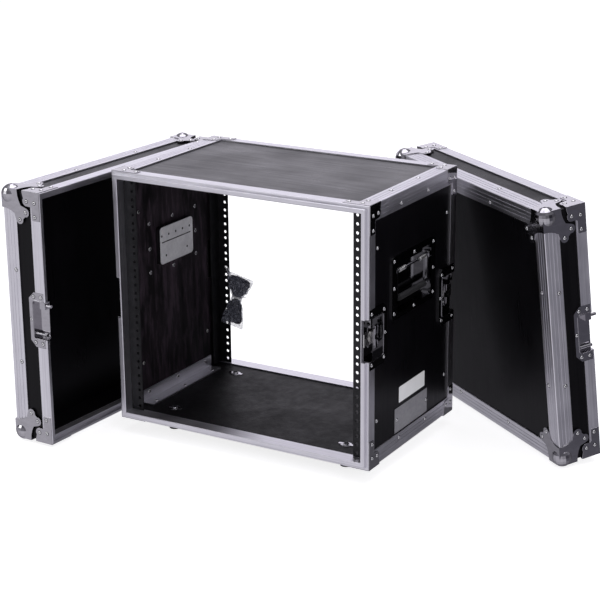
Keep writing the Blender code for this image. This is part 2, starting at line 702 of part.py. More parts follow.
def ball_corner_pattern():
    """A pressed corner with three leaves and a ball, for the corner at +X, +Y, +Z of a box.

    Distances run inward from the box's three faces, so the corner itself is the origin.
    """
    low, high = GAP, GAP + LEAF_T
    outline = leaf_outline()
    leaf_x = add_prism(bmesh.new(), outline, lambda u, v, end: ((low, high)[end], -u, -v))
    leaf_y = add_prism(bmesh.new(), outline, lambda u, v, end: (-u, (low, high)[end], -v))
    leaf_z = add_prism(bmesh.new(), outline, lambda u, v, end: (-u, -v, (low, high)[end]))
    ball = bmesh.new()
    bmesh.ops.create_uvsphere(ball, u_segments=BALL_SIDES, v_segments=BALL_RINGS, radius=BALL_R)
    moved(ball, (-BALL_IN, -BALL_IN, -BALL_IN))
    deep = -2 * BALL_R
    room = box((deep, deep, deep), (GAP, GAP, GAP))
    facet = -(CORNER_CUT - GAP * math.sqrt(3)) / 3
    bmesh.ops.bisect_plane(room, geom=room.verts[:] + room.edges[:] + room.faces[:],
                           plane_co=(facet, facet, facet), plane_no=(1, 1, 1), clear_outer=True)
    bmesh.ops.holes_fill(room, edges=[edge for edge in room.edges if edge.is_boundary])
    return solid("ball_corner_pattern", ball, "chrome", None, cuts=(room,),
                 last_adds=(leaf_x, leaf_y, leaf_z))


def corner_wedge():
    """The tip of a box's corner, placed as the ball corner is."""
    over = METAL_T
    far = -(CORNER_CUT + 2 * over)
    bm = bmesh.new()
    places = ((over, over, over), (far, over, over), (over, far, over), (over, over, far))
    points = [bm.verts.new(place) for place in places]
    for skipped in range(len(points)):
        bm.faces.new(points[:skipped] + points[skipped + 1:])
    return bm


def at_lid_corner(bm, sign_x, top):
    """Place a bmesh made for the corner at +X, +Y, +Z of a box at one of a lid's outer corners."""
    z = CASE_H if top else 0
    return moved(mirrored(bm, sign_x, 1, 1 if top else -1), (sign_x * CASE_W / 2, LID_D, z))


def build_ball_corners(lid, name, pattern):
    for level, top in LEVELS:
        for side, sign in SIDES:
            bm = bmesh.new()
            bm.from_mesh(pattern.data)
            solid("%s_%s_%s_ball_corner" % (name, level, side), at_lid_corner(bm, sign, top), "chrome",
                  lid, is_round=True)


def lid_keeper_cut(sign_x):
    """The pocket in a lid's side wall that takes a keeper's cup."""
    x_low, x_high = ordered(sign_x * (CASE_W / 2 - SKIN - 2 * PLY_T), sign_x * (CASE_W / 2 + SKIN))
    reach = KEEPER_CUP_HALF + GAP
    return box((x_low, -SKIN, LATCH_Z - reach), (x_high, KEEPER_CUP_X + GAP, LATCH_Z + reach))


def build_lid(lid, name, pattern):
    """A lid: plywood tray, rim extrusion, mitred edge angle, four ball corners and two keepers."""
    rim_edge = LID_RECESS + METAL_T + GAP
    outer = CASE_W / 2 - SKIN
    face = LID_D - SKIN
    tray = box((-outer, rim_edge, SKIN), (outer, face, CASE_H - SKIN))
    hollow_x = outer - PLY_T
    hollow = box((-hollow_x, -rim_edge, SKIN + PLY_T), (hollow_x, face - PLY_T, CASE_H - SKIN - PLY_T))
    cuts = [hollow] + [lid_keeper_cut(sign) for side, sign in SIDES]
    solid(name + "_tray", tray, "black_laminate", lid, cuts=cuts)

    ring = mitred_ring(lid_rim_profile(), lambda depth: depth)
    notches = rim_fitting_cuts(lambda depth: depth, KEEPER_PLATE_HALF, KEEPER_CUP_HALF)
    solid(name + "_rim", ring, "aluminium", lid, cuts=notches)

    edge = mitred_ring(angle_profile(ANGLE_LEG), lambda depth: LID_D - depth)
    facets = [at_lid_corner(corner_wedge(), sign, top) for side, sign in SIDES for level, top in LEVELS]
    solid(name + "_edge_frame", edge, "aluminium", lid, cuts=facets)

    build_ball_corners(lid, name, pattern)
    for side, sign in SIDES:
        build_keeper(lid, "%s_%s_keeper" % (name, side), sign)


# ---------------------------------------------------------------- placing

def place_frames(case, front_lid, rear_lid):
    """The case stands on its feet, and each lid stands on the ball corners of its outer face."""
    case.location = (0, 0, FOOT_H)
    front_lid.location = (FRONT_LID_X, FRONT_LID_Y, LID_CLEAR)
    front_lid.rotation_euler = (0, 0, FRONT_LID_TURN)
    lean = REAR_LID_LEAN
    ball_drop = (LID_D - BALL_IN) * math.sin(lean) - BALL_IN * math.cos(lean) + BALL_R
    rear_lid.location = (REAR_LID_X, REAR_LID_Y, ball_drop)
    turn = Matrix.Rotation(REAR_LID_TURN, 3, "Z") @ Matrix.Rotation(-lean, 3, "X")
    rear_lid.rotation_euler = turn.to_euler()


def centre_on_footprint(frames):
    """Move the frames so that the middle of the arrangement's footprint is the origin."""
    bpy.context.view_layer.update()
    corners = []
    for obj in bpy.data.objects:
        if obj.type == "MESH":
            corners += [obj.matrix_world @ vertex.co for vertex in obj.data.vertices]
    centre_x = (min(c.x for c in corners) + max(c.x for c in corners)) / 2
    centre_y = (min(c.y for c in corners) + max(c.y for c in corners)) / 2
    lowest = min(c.z for c in corners)
    for frame in frames:
        frame.location -= Vector((centre_x, centre_y, lowest))
    bpy.context.view_layer.update()


def main():
    clear_scene()
    case = frame_empty("case_frame")
    front_lid = frame_empty("front_lid_frame")
    rear_lid = frame_empty("rear_lid_frame")
    build_panels(case)
    for end, sign_y in ENDS:
        build_case_rim(case, end, sign_y)
    build_edge_angles(case)
    build_floor_angles(case)
    build_rails(case)
    build_feet(case)
    build_name_plate(case)
    build_screw_bag(case)
    for side, sign in SIDES:
        build_handle(case, side, sign)
    build_latches(case)
    pattern = ball_corner_pattern()
    build_lid(front_lid, "front_lid", pattern)
    build_lid(rear_lid, "rear_lid", pattern)
    bpy.data.objects.remove(pattern, do_unlink=True)
    place_frames(case, front_lid, rear_lid)
    centre_on_footprint((case, front_lid, rear_lid))


main()
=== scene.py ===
"""The looks of a ten-unit rack flight case and its two lift-off lids.

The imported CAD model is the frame. This script gives its nodes their materials and adds the small
pieces that have no CAD node: braces, rivets, screws, springs, washers, a blank label and the bag.
Three frames carry the added pieces. In the case's frame X runs across the front, Y from the front
rim to the rear one and Z up from the underside. In a lid's frame Y runs from its rim to its face.
"""
import itertools
import math

import bmesh
import bpy
from mathutils import Matrix, Vector, noise


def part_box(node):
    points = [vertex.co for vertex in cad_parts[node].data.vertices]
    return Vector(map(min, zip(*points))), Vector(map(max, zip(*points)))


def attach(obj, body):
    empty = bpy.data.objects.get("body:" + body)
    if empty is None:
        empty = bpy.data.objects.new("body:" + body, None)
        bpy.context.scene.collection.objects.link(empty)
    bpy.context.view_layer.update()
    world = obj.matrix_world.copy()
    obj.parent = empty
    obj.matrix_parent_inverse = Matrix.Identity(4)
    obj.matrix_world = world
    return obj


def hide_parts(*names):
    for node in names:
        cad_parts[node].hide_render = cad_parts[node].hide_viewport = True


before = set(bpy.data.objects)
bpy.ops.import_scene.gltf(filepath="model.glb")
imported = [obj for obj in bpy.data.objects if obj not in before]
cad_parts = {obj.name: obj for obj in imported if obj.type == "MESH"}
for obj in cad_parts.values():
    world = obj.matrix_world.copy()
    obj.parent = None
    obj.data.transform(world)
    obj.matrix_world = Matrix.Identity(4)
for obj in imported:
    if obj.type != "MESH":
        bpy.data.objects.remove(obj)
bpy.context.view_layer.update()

MM = 0.001

# Sizes that the case and its lids share with the CAD model.
SKIN = 2.3 * MM         # from the outside of the edging to the plywood
PLY_T = 9 * MM
GAP = 0.3 * MM
LID_D = 86 * MM
TRAY_START = 8.2 * MM   # from a lid's rim plane to its plywood
REAR_LID_TURN = math.radians(145.3)
REAR_LID_LEAN = math.radians(6.9)
FRONT_LID_TURN = math.radians(87.3)

# Rivets: flange radius, height and sides, and the dark ring of painted shade round them as radius and
# height.
RIVET_R = 3.3 * MM
RIVET_H = 1.5 * MM
RIVET_SIDES = 20
PAINTED_SHADE_RING = ((4.1 * MM, -0.2 * MM), (4.1 * MM, 0.12 * MM), (3.2 * MM, 0.16 * MM))

# Corner braces of the rims, in distances along the depth and down from the corner.
BRACE_T = 1.2 * MM
BRACE_ARM = 40 * MM
BRACE_LEG = 52 * MM
BRACE_W = 19 * MM
BRACE_LOBE = (30 * MM, 18 * MM, 9 * MM)
BRACE_FILLET = 3 * MM
BRACE_START = 1 * MM
BRACE_SUNK = 0.2 * MM
BRACE_RIVETS = ((30 * MM, 18 * MM), (12 * MM, 19 * MM), (12 * MM, 45 * MM))

# Rivets of the lids: distances from the outer face and from the middle.
LEAF_LIFT = 1.8 * MM    # the outside of a ball corner's leaf
LEAF_RIVETS = ((53 * MM, 39 * MM), (39 * MM, 53 * MM))
LID_RIVET_IN = 21.5 * MM
LID_RIVET_SPREAD = 88 * MM

# Rivets of the case's edge angles and of the latches, from the rim plane and the latch's middle.
EDGE_RIVET_IN = 20.5 * MM
EDGE_RIVET_SPREAD = 52 * MM
LATCH_Z = 238 * MM
LATCH_RIVETS = ((10.5, 46.0), (55.5, 43.5), (60.0, 0.0), (55.5, -43.5), (10.5, -46.0))
KEEPER_RIVETS = ((10.0, 44.0), (27.0, 43.5), (34.0, 0.0), (27.0, -43.5), (10.0, -44.0))

# Side handles.
HANDLE_Z = 307 * MM
HANDLE_RIVETS = ((-76, 49), (0, 48.5), (76, 49), (76, 0), (76, -46), (0, -50.5), (-76, -46), (-76, 0))
ROD_Z = 27 * MM         # above the handle's middle
ROD_IN = 5.2 * MM
GRIP_DROP = 51 * MM     # below the rod
GRIP_REACH = 7 * MM
GRIP_HALF = 50.1 * MM
SPRING_R = 3.7 * MM
SPRING_WIRE = 0.6 * MM
SPRING_Y = (26 * MM, 53 * MM)
SPRING_TURNS = 9
SPRING_STEPS = 12
LUG_Y = (61 * MM, 64 * MM)
LUG_Z = (-6 * MM, 7 * MM)
LUG_IN = (8.7 * MM, 1.2 * MM)
LUG_CUT = 2 * MM

# The plate that backs a handle inside the case: holes and a folded slot, from the handle's middle.
BACK_IN = 19.5 * MM
BACK_HALF = (54.0 * MM, 36.0 * MM)
BACK_HOLES = ((-49, 19), (-26, 19), (-3, 19), (20, 19), (43, 19), (-36, -21), (34, -20))
BACK_HOLE_R = 2.2 * MM
BACK_FOLD = ((-49 * MM, 5 * MM), (47 * MM, 7.2 * MM))
BACK_FOLD_R = 1 * MM
BACK_FOLD_H = 0.35 * MM
BACK_SHEET = 0.25 * MM
BACK_SUNK = 0.1 * MM
BACK_R = 7 * MM
BACK_RIM = 1.6 * MM
BACK_RIM_H = 0.8 * MM
WASHER_R = 4.1 * MM
WASHER_H = 1.1 * MM
INNER_IN = SKIN + PLY_T     # from the outside of the edging to the inside of the panels

# Latches and keepers: the cup's floor, the pressed bead round the cup, and the key's ridges.
CUP_FLOOR = 10.3 * MM
LATCH_BEAD = (3.6 * MM, 54.6 * MM, 39.6 * MM)
KEEPER_BEAD = (3.6 * MM, 31.4 * MM, 37.4 * MM)
BEAD_W = 1.5 * MM
BEAD_H = 0.9 * MM
BEAD_SUNK = 0.2 * MM
BEAD_R = 7 * MM
HUB_IN = 27 * MM
KEY_TOP = 7.4 * MM
KEY_MIDDLE = 6.15 * MM
KEY_RIDGE = ((1.6, 19.8), (6.6, 19.8), (10.6, 20.2), (12.6, 16.6), (11.2, 12.4), (8.0, 4.6), (1.6, 4.0))
KEY_RIDGE_H = 0.7 * MM
KEY_RIDGE_SHARE = 0.78
BARREL_R = 1.45 * MM
BARREL_HALF = 15 * MM

# Rail screws: from the rim plane and from the middle of the height.
RAIL_SCREW_Y = 34 * MM
RAIL_SCREW_Z = 157 * MM
WALL_SCREW = (109 * MM, 148 * MM)
SCREW_R = 3.6 * MM
SCREW_H = 1.7 * MM
CROSS_LONG, CROSS_SHORT = 0.58, 0.13    # arms of the cross recess, as shares of the head

# Floor nuts over the feet, and the rivets of the floor angles.
NUT_AT = (186 * MM, 107 * MM)
NUT_R = 10.5 * MM
NUT_WING = (5 * MM, 3.4 * MM)
NUT_WING_R = 2 * MM
NUT_WING_Z = (-0.1 * MM, 1.3 * MM)
ANGLE_RIVET_Y = (-96 * MM, 0.0, 96 * MM)
ANGLE_RIVET_IN = 15 * MM
ANGLE_T = 2 * MM

# Label above the name plate, blank: depth and height in the case's frame.
LABEL_Y = (119 * MM, 221 * MM)
LABEL_Z = (86 * MM, 116 * MM)
LABEL_R = 2 * MM
LABEL_T = 0.25 * MM
PLATE_RIVETS = ((-60, 56.5), (57, 56.5))
PLATE_LIFT = -1.2 * MM

# The bag of rack screws, in the case's frame. Rows give a share of its length, half its width and half
# its depth in millimetres.
BAG_TOP = Vector((-0.1890, 0.1375, 0.2070))
BAG_AXIS = Vector((-0.22, 0.0, -1.0)).normalized()
BAG_LENGTH = 110 * MM
BAG_SHAPE = ((0.00, 30.5, 0.7), (0.03, 30.8, 1.4), (0.12, 28.5, 5.6), (0.26, 21.5, 8.2), (0.36, 13.5, 6.6),
             (0.42, 9.5, 4.6), (0.48, 10.5, 5.4), (0.64, 18.0, 8.2), (0.86, 24.0, 6.8), (0.97, 25.8, 1.6),
             (1.00, 26.0, 0.7))
BAG_WAIST = 0.42
BAG_RINGS = 64
BAG_SIDES = 72
BAG_PLEATS = 11
PLEAT_DEPTH = 0.22
WAIST_REACH = 0.14      # how far from the waist the pleats go, as a share of the bag's length
BAG_CRINKLE = 1.5 * MM
FULL_CRINKLE = 5 * MM   # the half depth from which the film crinkles fully
BAG_SEED = 4
LOBES = ((0.215, 0.185), (0.700, 0.235))
SCREWS_PER_LOBE = 44
HEAP_RINGS = 24
HEAP_FILL = 0.86
HEAP_LUMPS = 1.6 * MM
RACK_SCREW = ((3.4, 0.0), (3.6, 0.8), (3.2, 2.0), (1.7, 2.3), (1.6, 2.6), (1.6, 11.0), (0.6, 12.0))
SCREW_SHRINK = 0.8
TIE_R = 0.7 * MM
TIE_TURNS = 3
TIE_STEPS = 12
TO_RIGHT = Vector((1.0, 0.0, 0.0))
HOOK_IN = 22 * MM
HOOK_DROP = 5 * MM
LOOP_SLACK = 1.18
LOOP_LIFT = 5 * MM
LOOP_STEPS = 28
TIE_HOLE = Vector((-0.23255, 0.152, 0.215775))

# Camera, at the angle of the reference view.
CAMERA_AT = (1.4617, -2.6189, 1.2089)
CAMERA_PITCH = 72.572
CAMERA_TURN = 29.029
CAMERA_LENS = 101.04
CAMERA_SHIFT = (-0.07555, -0.01694)

# Name and sign of each side and end, and name and place of each level.
SIDES = (("left", -1), ("right", 1))
ENDS = (("front", -1), ("rear", 1))
LEVELS = (("bottom", 0), ("top", 1))

# The stage: the floor's glow, the tint of the lights, and the world's grades as (place, colour). The
# lower grade runs from front to rear, the upper one from level to straight up, and the flag to the right.
FLOOR_GLOW = 0.8
WARM_VIOLET = (1.0, 0.965, 1.07)
LOWER_STUDIO = ((0.0, (0.78, 0.765, 0.825)), (0.38, (0.56, 0.55, 0.60)), (0.62, (0.26, 0.254, 0.285)),
                (1.0, (0.09, 0.089, 0.10)))
UPPER_STUDIO = ((0.0, (0.12, 0.118, 0.14)), (0.22, (0.05, 0.05, 0.06)), (0.34, (0.30, 0.295, 0.33)),
                (0.6, (0.16, 0.158, 0.18)), (1.0, (0.80, 0.80, 0.83)))
RIGHT_FLAG = ((0.0, (1.0, 1.0, 1.0)), (1.0, (0.30, 0.30, 0.33)))


# ---------------------------------------------------------------- frames

def case_frame():
    """The case's matrix and its size, from its edge angles and floor."""
    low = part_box("bottom_left_edge_angle")[0]
    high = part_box("top_right_edge_angle")[1]
    floor_low, floor_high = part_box("floor_panel")
    centre = Vector(((low.x + high.x) / 2, (floor_low.y + floor_high.y) / 2, low.z))
    depth = floor_high.y - floor_low.y + 2 * (SKIN + GAP)
    return Matrix.Translation(centre), Vector((high.x - low.x, depth, high.z - low.z))


CASE, SIZE = case_frame()
HALF_W = SIZE.x / 2
HALF_D = SIZE.y / 2
HEIGHT = SIZE.z


def lid_frame(lid, turn):
    """A lid's matrix. The lowest corner of its tray's box fixes where the turned tray stands."""
    spans = ((SKIN - HALF_W, HALF_W - SKIN), (TRAY_START, LID_D - SKIN), (SKIN, HEIGHT - SKIN))
    corners = [turn @ Vector(corner) for corner in itertools.product(*spans)]
    lowest = Vector([min(corner[i] for corner in corners) for i in range(3)])
    return Matrix.Translation(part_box(lid + "_tray")[0] - lowest) @ turn.to_4x4()


def turned(turn, lean):
    return Matrix.Rotation(turn, 3, "Z") @ Matrix.Rotation(-lean, 3, "X")


LIDS = {"front_lid": lid_frame("front_lid", turned(FRONT_LID_TURN, 0.0)),
        "rear_lid": lid_frame("rear_lid", turned(REAR_LID_TURN, REAR_LID_LEAN))}


# ---------------------------------------------------------------- materials

class Look:
    """A Principled material whose colour, roughness and bump come from nodes."""

    def __init__(self, name, metallic=0.0, specular=0.5):
        self.material = bpy.data.materials.new(name)
        self.material.use_nodes = True
        self.tree = self.material.node_tree
        self.shader = self.tree.nodes["Principled BSDF"]
        self.shader.inputs["Metallic"].default_value = metallic
        self.shader.inputs["Specular IOR Level"].default_value = specular

    def node(self, kind, inputs=None, **settings):
        made = self.tree.nodes.new(kind)
        for key, value in settings.items():
            setattr(made, key, value)
        for key, value in (inputs or {}).items():
            self.feed(made.inputs[key], value)
        return made

    def feed(self, socket, value):
        if isinstance(value, bpy.types.NodeSocket):
            self.tree.links.new(value, socket)
        else:
            socket.default_value = value

    def place(self, matrix=None, scale=(1, 1, 1)):
        """Object coordinates, taken into a frame and then scaled."""
        vector = self.node("ShaderNodeTexCoord").outputs["Object"]
        if matrix is not None:
            inverse = matrix.inverted()
            mapping = self.node("ShaderNodeMapping", {"Vector": vector})
            mapping.inputs["Location"].default_value = inverse.to_translation()
            mapping.inputs["Rotation"].default_value = inverse.to_euler()
            vector = mapping.outputs[0]
        stretched = self.node("ShaderNodeMapping", {"Vector": vector})
        stretched.inputs["Scale"].default_value = scale
        return stretched.outputs[0]

    def noise(self, vector, scale, detail=3.0, rough=0.55):
        made = self.node("ShaderNodeTexNoise", {"Vector": vector, "Scale": scale, "Detail": detail,
                                                "Roughness": rough})
        return made.outputs["Fac"]

    def cells(self, vector, scale):
        made = self.node("ShaderNodeTexVoronoi", {"Vector": vector, "Scale": scale})
        return made.outputs["Distance"]

    def spread(self, value, low, high, start=0.3, stop=0.7):
        """Map a value from start..stop to low..high, clamped."""
        made = self.node("ShaderNodeMapRange", {"Value": value, "From Min": start, "From Max": stop,
                                                "To Min": low, "To Max": high})
        return made.outputs["Result"]

    def blend(self, factor, first, second):
        """A colour between two colours or sockets."""
        made = self.node("ShaderNodeMix", data_type="RGBA")
        self.feed(made.inputs["Factor"], factor)
        self.feed(made.inputs[6], rgba(first))
        self.feed(made.inputs[7], rgba(second))
        return made.outputs[2]

    def sum(self, first, second, second_share=1.0):
        made = self.node("ShaderNodeMath", operation="MULTIPLY_ADD")
        for socket, value in zip(made.inputs, (second, second_share, first)):
            self.feed(socket, value)
        return made.outputs[0]

    def colour(self, value):
        self.feed(self.shader.inputs["Base Color"], rgba(value))

    def roughness(self, value):
        self.feed(self.shader.inputs["Roughness"], value)

    def bump(self, height, strength, distance):
        made = self.node("ShaderNodeBump", {"Height": height, "Strength": strength, "Distance": distance})
        self.feed(self.shader.inputs["Normal"], made.outputs[0])


def rgba(value):
    """A colour of three numbers as four, and anything else as it is."""
    if isinstance(value, tuple) and len(value) == 3:
        return (*value, 1.0)
    return value


def aluminium(name, matrix, run):
    """Satin extrusion with fine streaks along its run: an axis of its frame, or a ring's two runs."""
    look = Look(name, metallic=1.0)
    fine, slow = STREAKS
    if run == "y":
        streak = look.noise(look.place(matrix, (fine, slow, fine)), 1.0, 4.0, 0.72)
    else:
        upright = look.noise(look.place(matrix, (fine, fine, slow)), 1.0, 4.0, 0.72)
        level = look.noise(look.place(matrix, (slow, fine, fine)), 1.0, 4.0, 0.72)
        streak = look.node("ShaderNodeMix", data_type="FLOAT")
        look.feed(streak.inputs[0], ring_mask(look, matrix))
        look.feed(streak.inputs[2], upright)
        look.feed(streak.inputs[3], level)
        streak = streak.outputs[0]
    cloud = look.noise(look.place(matrix), 22.0, 4.0)
    tint = look.sum(look.spread(streak, 0.0, 0.55), cloud, 0.45)
    look.colour(look.blend(tint, (0.58, 0.57, 0.61), (0.96, 0.95, 0.99)))
    look.roughness(look.spread(look.sum(streak, cloud, 0.6), 0.26, 0.48, 0.4, 1.1))
    look.bump(streak, 0.25, 0.0003)
    return look.material


def ring_mask(look, matrix):
    """One on a ring's level runs and zero on its upright runs, split along its mitres."""
    apart = look.node("ShaderNodeSeparateXYZ", {"Vector": look.place(matrix)})
    across = look.node("ShaderNodeMath", {0: apart.outputs["X"]}, operation="ABSOLUTE").outputs[0]
    raised = look.node("ShaderNodeMath", {0: apart.outputs["Z"], 1: HEIGHT / 2},
                       operation="SUBTRACT").outputs[0]
    raised = look.node("ShaderNodeMath", {0: raised}, operation="ABSOLUTE").outputs[0]
    edge_x = look.node("ShaderNodeMath", {0: HALF_W, 1: across}, operation="SUBTRACT").outputs[0]
    edge_z = look.node("ShaderNodeMath", {0: HEIGHT / 2, 1: raised}, operation="SUBTRACT").outputs[0]
    return look.node("ShaderNodeMath", {0: edge_z, 1: edge_x}, operation="LESS_THAN").outputs[0]


def laminate(name, matrix, grain, specular=0.25, rough=(0.26, 0.44), pebble=(620.0, 0.16)):
    """Black phenolic laminate: a fine pebble, of a scale and a depth, over a faint grain."""
    look = Look(name, specular=specular)
    pebble_scale, pebble_depth = pebble
    pebble = look.cells(look.place(matrix), pebble_scale)
    cloud = look.noise(look.place(matrix), 9.0, 5.0)
    streak = look.noise(look.place(matrix, grain), 1.0, 5.0, 0.62)
    mottled = look.sum(look.spread(streak, 0.0, 0.6), cloud, 0.5)
    look.colour(look.blend(mottled, (0.0009, 0.0008, 0.0012), (0.0040, 0.0035, 0.0048)))
    look.roughness(look.spread(look.sum(streak, cloud), rough[0], rough[1], 0.7, 1.3))
    look.bump(look.sum(pebble, streak, 0.5), pebble_depth, 0.0004)
    return look


def side_laminate(name, matrix, inner_half):
    """The side panels: black laminate outside, and inside a dark brown veneer with upright flecks."""
    look = laminate(name, matrix, VENEER_GRAIN, specular=0.2)
    outside = look.shader.inputs["Base Color"].links[0].from_socket
    apart = look.node("ShaderNodeSeparateXYZ", {"Vector": look.place(matrix)})
    across = look.node("ShaderNodeMath", {0: apart.outputs["X"]}, operation="ABSOLUTE").outputs[0]
    within = look.node("ShaderNodeMath", {0: across, 1: inner_half}, operation="LESS_THAN").outputs[0]
    flecks = look.noise(look.place(matrix, FLECK_GRAIN), 1.0, 6.0, 0.68)
    clouds = look.noise(look.place(matrix, CLOUD_GRAIN), 1.0, 4.0)
    veneer = look.sum(look.spread(flecks, 0.0, 0.75, 0.46, 0.66), look.spread(clouds, 0.0, 0.35, 0.4, 0.65))
    inside = look.blend(veneer, (0.0022, 0.0016, 0.0024), (0.046, 0.030, 0.044))
    look.colour(look.blend(within, outside, inside))
    outer_rough = look.shader.inputs["Roughness"].links[0].from_socket
    look.roughness(look.sum(outer_rough, within, 0.3))
    return look


def plated(name, tone, rough, tint=(1.0, 1.0, 1.0)):
    """Bright plating: nearly even, with faint handling marks and a little unevenness."""
    look = Look(name, metallic=1.0)
    smear = look.noise(look.place(scale=(1.0, 1.0, 2.2)), 60.0, 5.0, 0.6)
    fine = look.noise(look.place(), 420.0, 2.0)
    dark = tuple(tone[0] * channel for channel in tint)
    light = tuple(tone[1] * channel for channel in tint)
    look.colour(look.blend(smear, dark, light))
    look.roughness(look.spread(smear, rough[0], rough[1]))
    look.bump(look.sum(smear, fine, 0.25), 0.05, 0.0006)
    return look.material


def galvanised(name, dark, light):
    """Dull zinc with soft spangles, which scatters most of its light."""
    look = Look(name, metallic=0.35)
    spangle = look.cells(look.place(), 160.0)
    cloud = look.noise(look.place(), 40.0, 4.0)
    look.colour(look.blend(look.sum(cloud, spangle, 0.4), dark, light))
    look.roughness(look.spread(cloud, 0.34, 0.52))
    look.bump(cloud, 0.1, 0.0004)
    return look.material


def powder_coat(name, tone, rough):
    """Painted steel with a fine orange peel and slightly worn, greyer patches."""
    look = Look(name, specular=0.28)
    peel = look.noise(look.place(), 900.0, 2.0)
    wear = look.noise(look.place(), 55.0, 6.0, 0.7)
    look.colour(look.blend(look.spread(wear, 0.0, 1.0, 0.45, 0.8), tone[0], tone[1]))
    look.roughness(look.spread(peel, rough[0], rough[1]))
    look.bump(peel, 0.25, 0.0003)
    return look.material


def bail_look():
    """Black ribbed grip between bright steel arms, told apart by height below the rod."""
    look = Look("bail_steel_and_grip")
    apart = look.node("ShaderNodeSeparateXYZ", {"Vector": look.place(CASE)})
    grip_z = HANDLE_Z + ROD_Z - GRIP_DROP
    drop = look.node("ShaderNodeMath", {0: apart.outputs["Z"], 1: grip_z}, operation="SUBTRACT").outputs[0]
    drop = look.node("ShaderNodeMath", {0: drop}, operation="ABSOLUTE").outputs[0]
    near = look.node("ShaderNodeMath", {0: drop, 1: GRIP_REACH}, operation="LESS_THAN").outputs[0]
    along = look.node("ShaderNodeMath", {0: apart.outputs["Y"]}, operation="ABSOLUTE").outputs[0]
    within = look.node("ShaderNodeMath", {0: along, 1: GRIP_HALF}, operation="LESS_THAN").outputs[0]
    grip = look.node("ShaderNodeMath", {0: near, 1: within}, operation="MULTIPLY").outputs[0]
    cloud = look.noise(look.place(), 90.0, 4.0)
    rubber = look.blend(cloud, (0.010, 0.010, 0.011), (0.022, 0.022, 0.023))
    steel = look.blend(cloud, (0.50, 0.50, 0.52), (0.66, 0.66, 0.68))
    look.colour(look.blend(grip, steel, rubber))
    metal = look.node("ShaderNodeMath", {0: 1.0, 1: grip}, operation="SUBTRACT").outputs[0]
    look.feed(look.shader.inputs["Metallic"], metal)
    look.roughness(look.spread(look.sum(look.spread(cloud, 0.0, 0.12), grip, 0.4), 0.12, 0.62, 0.0, 0.5))
    look.bump(look.noise(look.place(), 1200.0, 2.0), 0.2, 0.0002)
    return look.material


def rubber_look(name):
    look = Look(name, specular=0.35)
    cloud = look.noise(look.place(), 140.0, 5.0)
    look.colour(look.blend(cloud, (0.009, 0.009, 0.009), (0.026, 0.025, 0.025)))
    look.roughness(look.spread(cloud, 0.62, 0.85))
    look.bump(cloud, 0.3, 0.0005)
    return look.material


def printed_label(name):
    """Blank white paper under a clear film, very slightly creased."""
    look = Look(name, specular=0.4)
    cloud = look.noise(look.place(), 45.0, 5.0)
    look.colour(look.blend(cloud, (0.74, 0.74, 0.76), (0.86, 0.86, 0.87)))
    look.roughness(look.spread(cloud, 0.35, 0.55))
    look.bump(cloud, 0.15, 0.0004)
    return look.material


def film_look():
    """Thin clear film: clearest where it faces the eye, whiter along creases, with sharp highlights."""
    look = Look("clear_film", specular=0.9)
    crease = look.noise(look.place(), 130.0, 5.0, 0.65)
    look.colour(look.blend(crease, (0.10, 0.11, 0.20), (0.80, 0.82, 0.92)))
    look.roughness(look.spread(crease, 0.05, 0.22))
    look.bump(look.noise(look.place(), 300.0, 4.0), 0.6, 0.0008)
    edge = look.node("ShaderNodeLayerWeight", {"Blend": 0.35}).outputs["Facing"]
    milky = look.spread(crease, 0.0, 0.5, 0.5, 0.75)
    look.feed(look.shader.inputs["Alpha"], look.spread(look.sum(edge, milky), 0.16, 0.85, 0.0, 1.0))
    return look.material


# Noise scales: the streaks' across and along their run, and each grain's along its frame's axes.
STREAKS = (460.0, 5.0)
VENEER_GRAIN = (240.0, 240.0, 7.0)
FLECK_GRAIN = (70.0, 90.0, 16.0)
CLOUD_GRAIN = (22.0, 26.0, 5.0)
TOP_GRAIN = (9.0, 160.0, 160.0)
FLOOR_GRAIN = (60.0, 60.0, 60.0)

LOOKS = {
    "case_ring": aluminium("case_rim_aluminium", CASE, "ring"),
    "case_angle": aluminium("edge_angle_aluminium", CASE, "y"),
    "side": side_laminate("side_laminate", CASE, HALF_W - SKIN - PLY_T + GAP).material,
    "top": laminate("top_laminate", CASE, TOP_GRAIN, 0.5).material,
    "floor": laminate("floor_laminate", CASE, FLOOR_GRAIN, 0.22, (0.42, 0.62), (300.0, 0.5)).material,
    "chrome": plated("chrome", (0.36, 0.56), (0.05, 0.13), (0.97, 0.95, 1.0)),
    # A darker copy of the chrome for the dishes of the handles and latches: painted shade.
    "painted_shade_chrome": plated("painted_shade_chrome", (0.14, 0.30), (0.05, 0.12), (0.97, 0.96, 1.0)),
    "zinc": plated("zinc", (0.48, 0.68), (0.20, 0.36), (1.0, 0.99, 0.97)),
    "rivet": plated("rivet_steel", (0.72, 0.90), (0.16, 0.30)),
    "plate": galvanised("galvanised_plate", (0.56, 0.55, 0.58), (0.84, 0.83, 0.86)),
    "name_plate": galvanised("brushed_name_plate", (0.19, 0.185, 0.205), (0.33, 0.325, 0.35)),
    "rail": powder_coat("rail_powder_coat", ((0.005, 0.005, 0.006), (0.018, 0.017, 0.020)), (0.34, 0.52)),
    # The dark look is painted shade: it fills the rings round the rivets and the hollows, holes, bores and
    # recesses of the small pieces.
    "dark": powder_coat("painted_shade_black", ((0.006, 0.006, 0.008), (0.020, 0.020, 0.026)), (0.22, 0.40)),
    "screws": powder_coat("oiled_black_screws", ((0.002, 0.002, 0.006), (0.012, 0.012, 0.030)),
                          (0.20, 0.40)),
    "rubber": rubber_look("foot_rubber"),
    "bail": bail_look(),
    "label": printed_label("blank_label"),
    "film": film_look(),
}
for lid, lid_matrix in LIDS.items():
    LOOKS[lid + "_ring"] = aluminium(lid + "_aluminium", lid_matrix, "ring")
    LOOKS[lid + "_tray"] = laminate(lid + "_laminate", lid_matrix, VENEER_GRAIN, 0.14).material


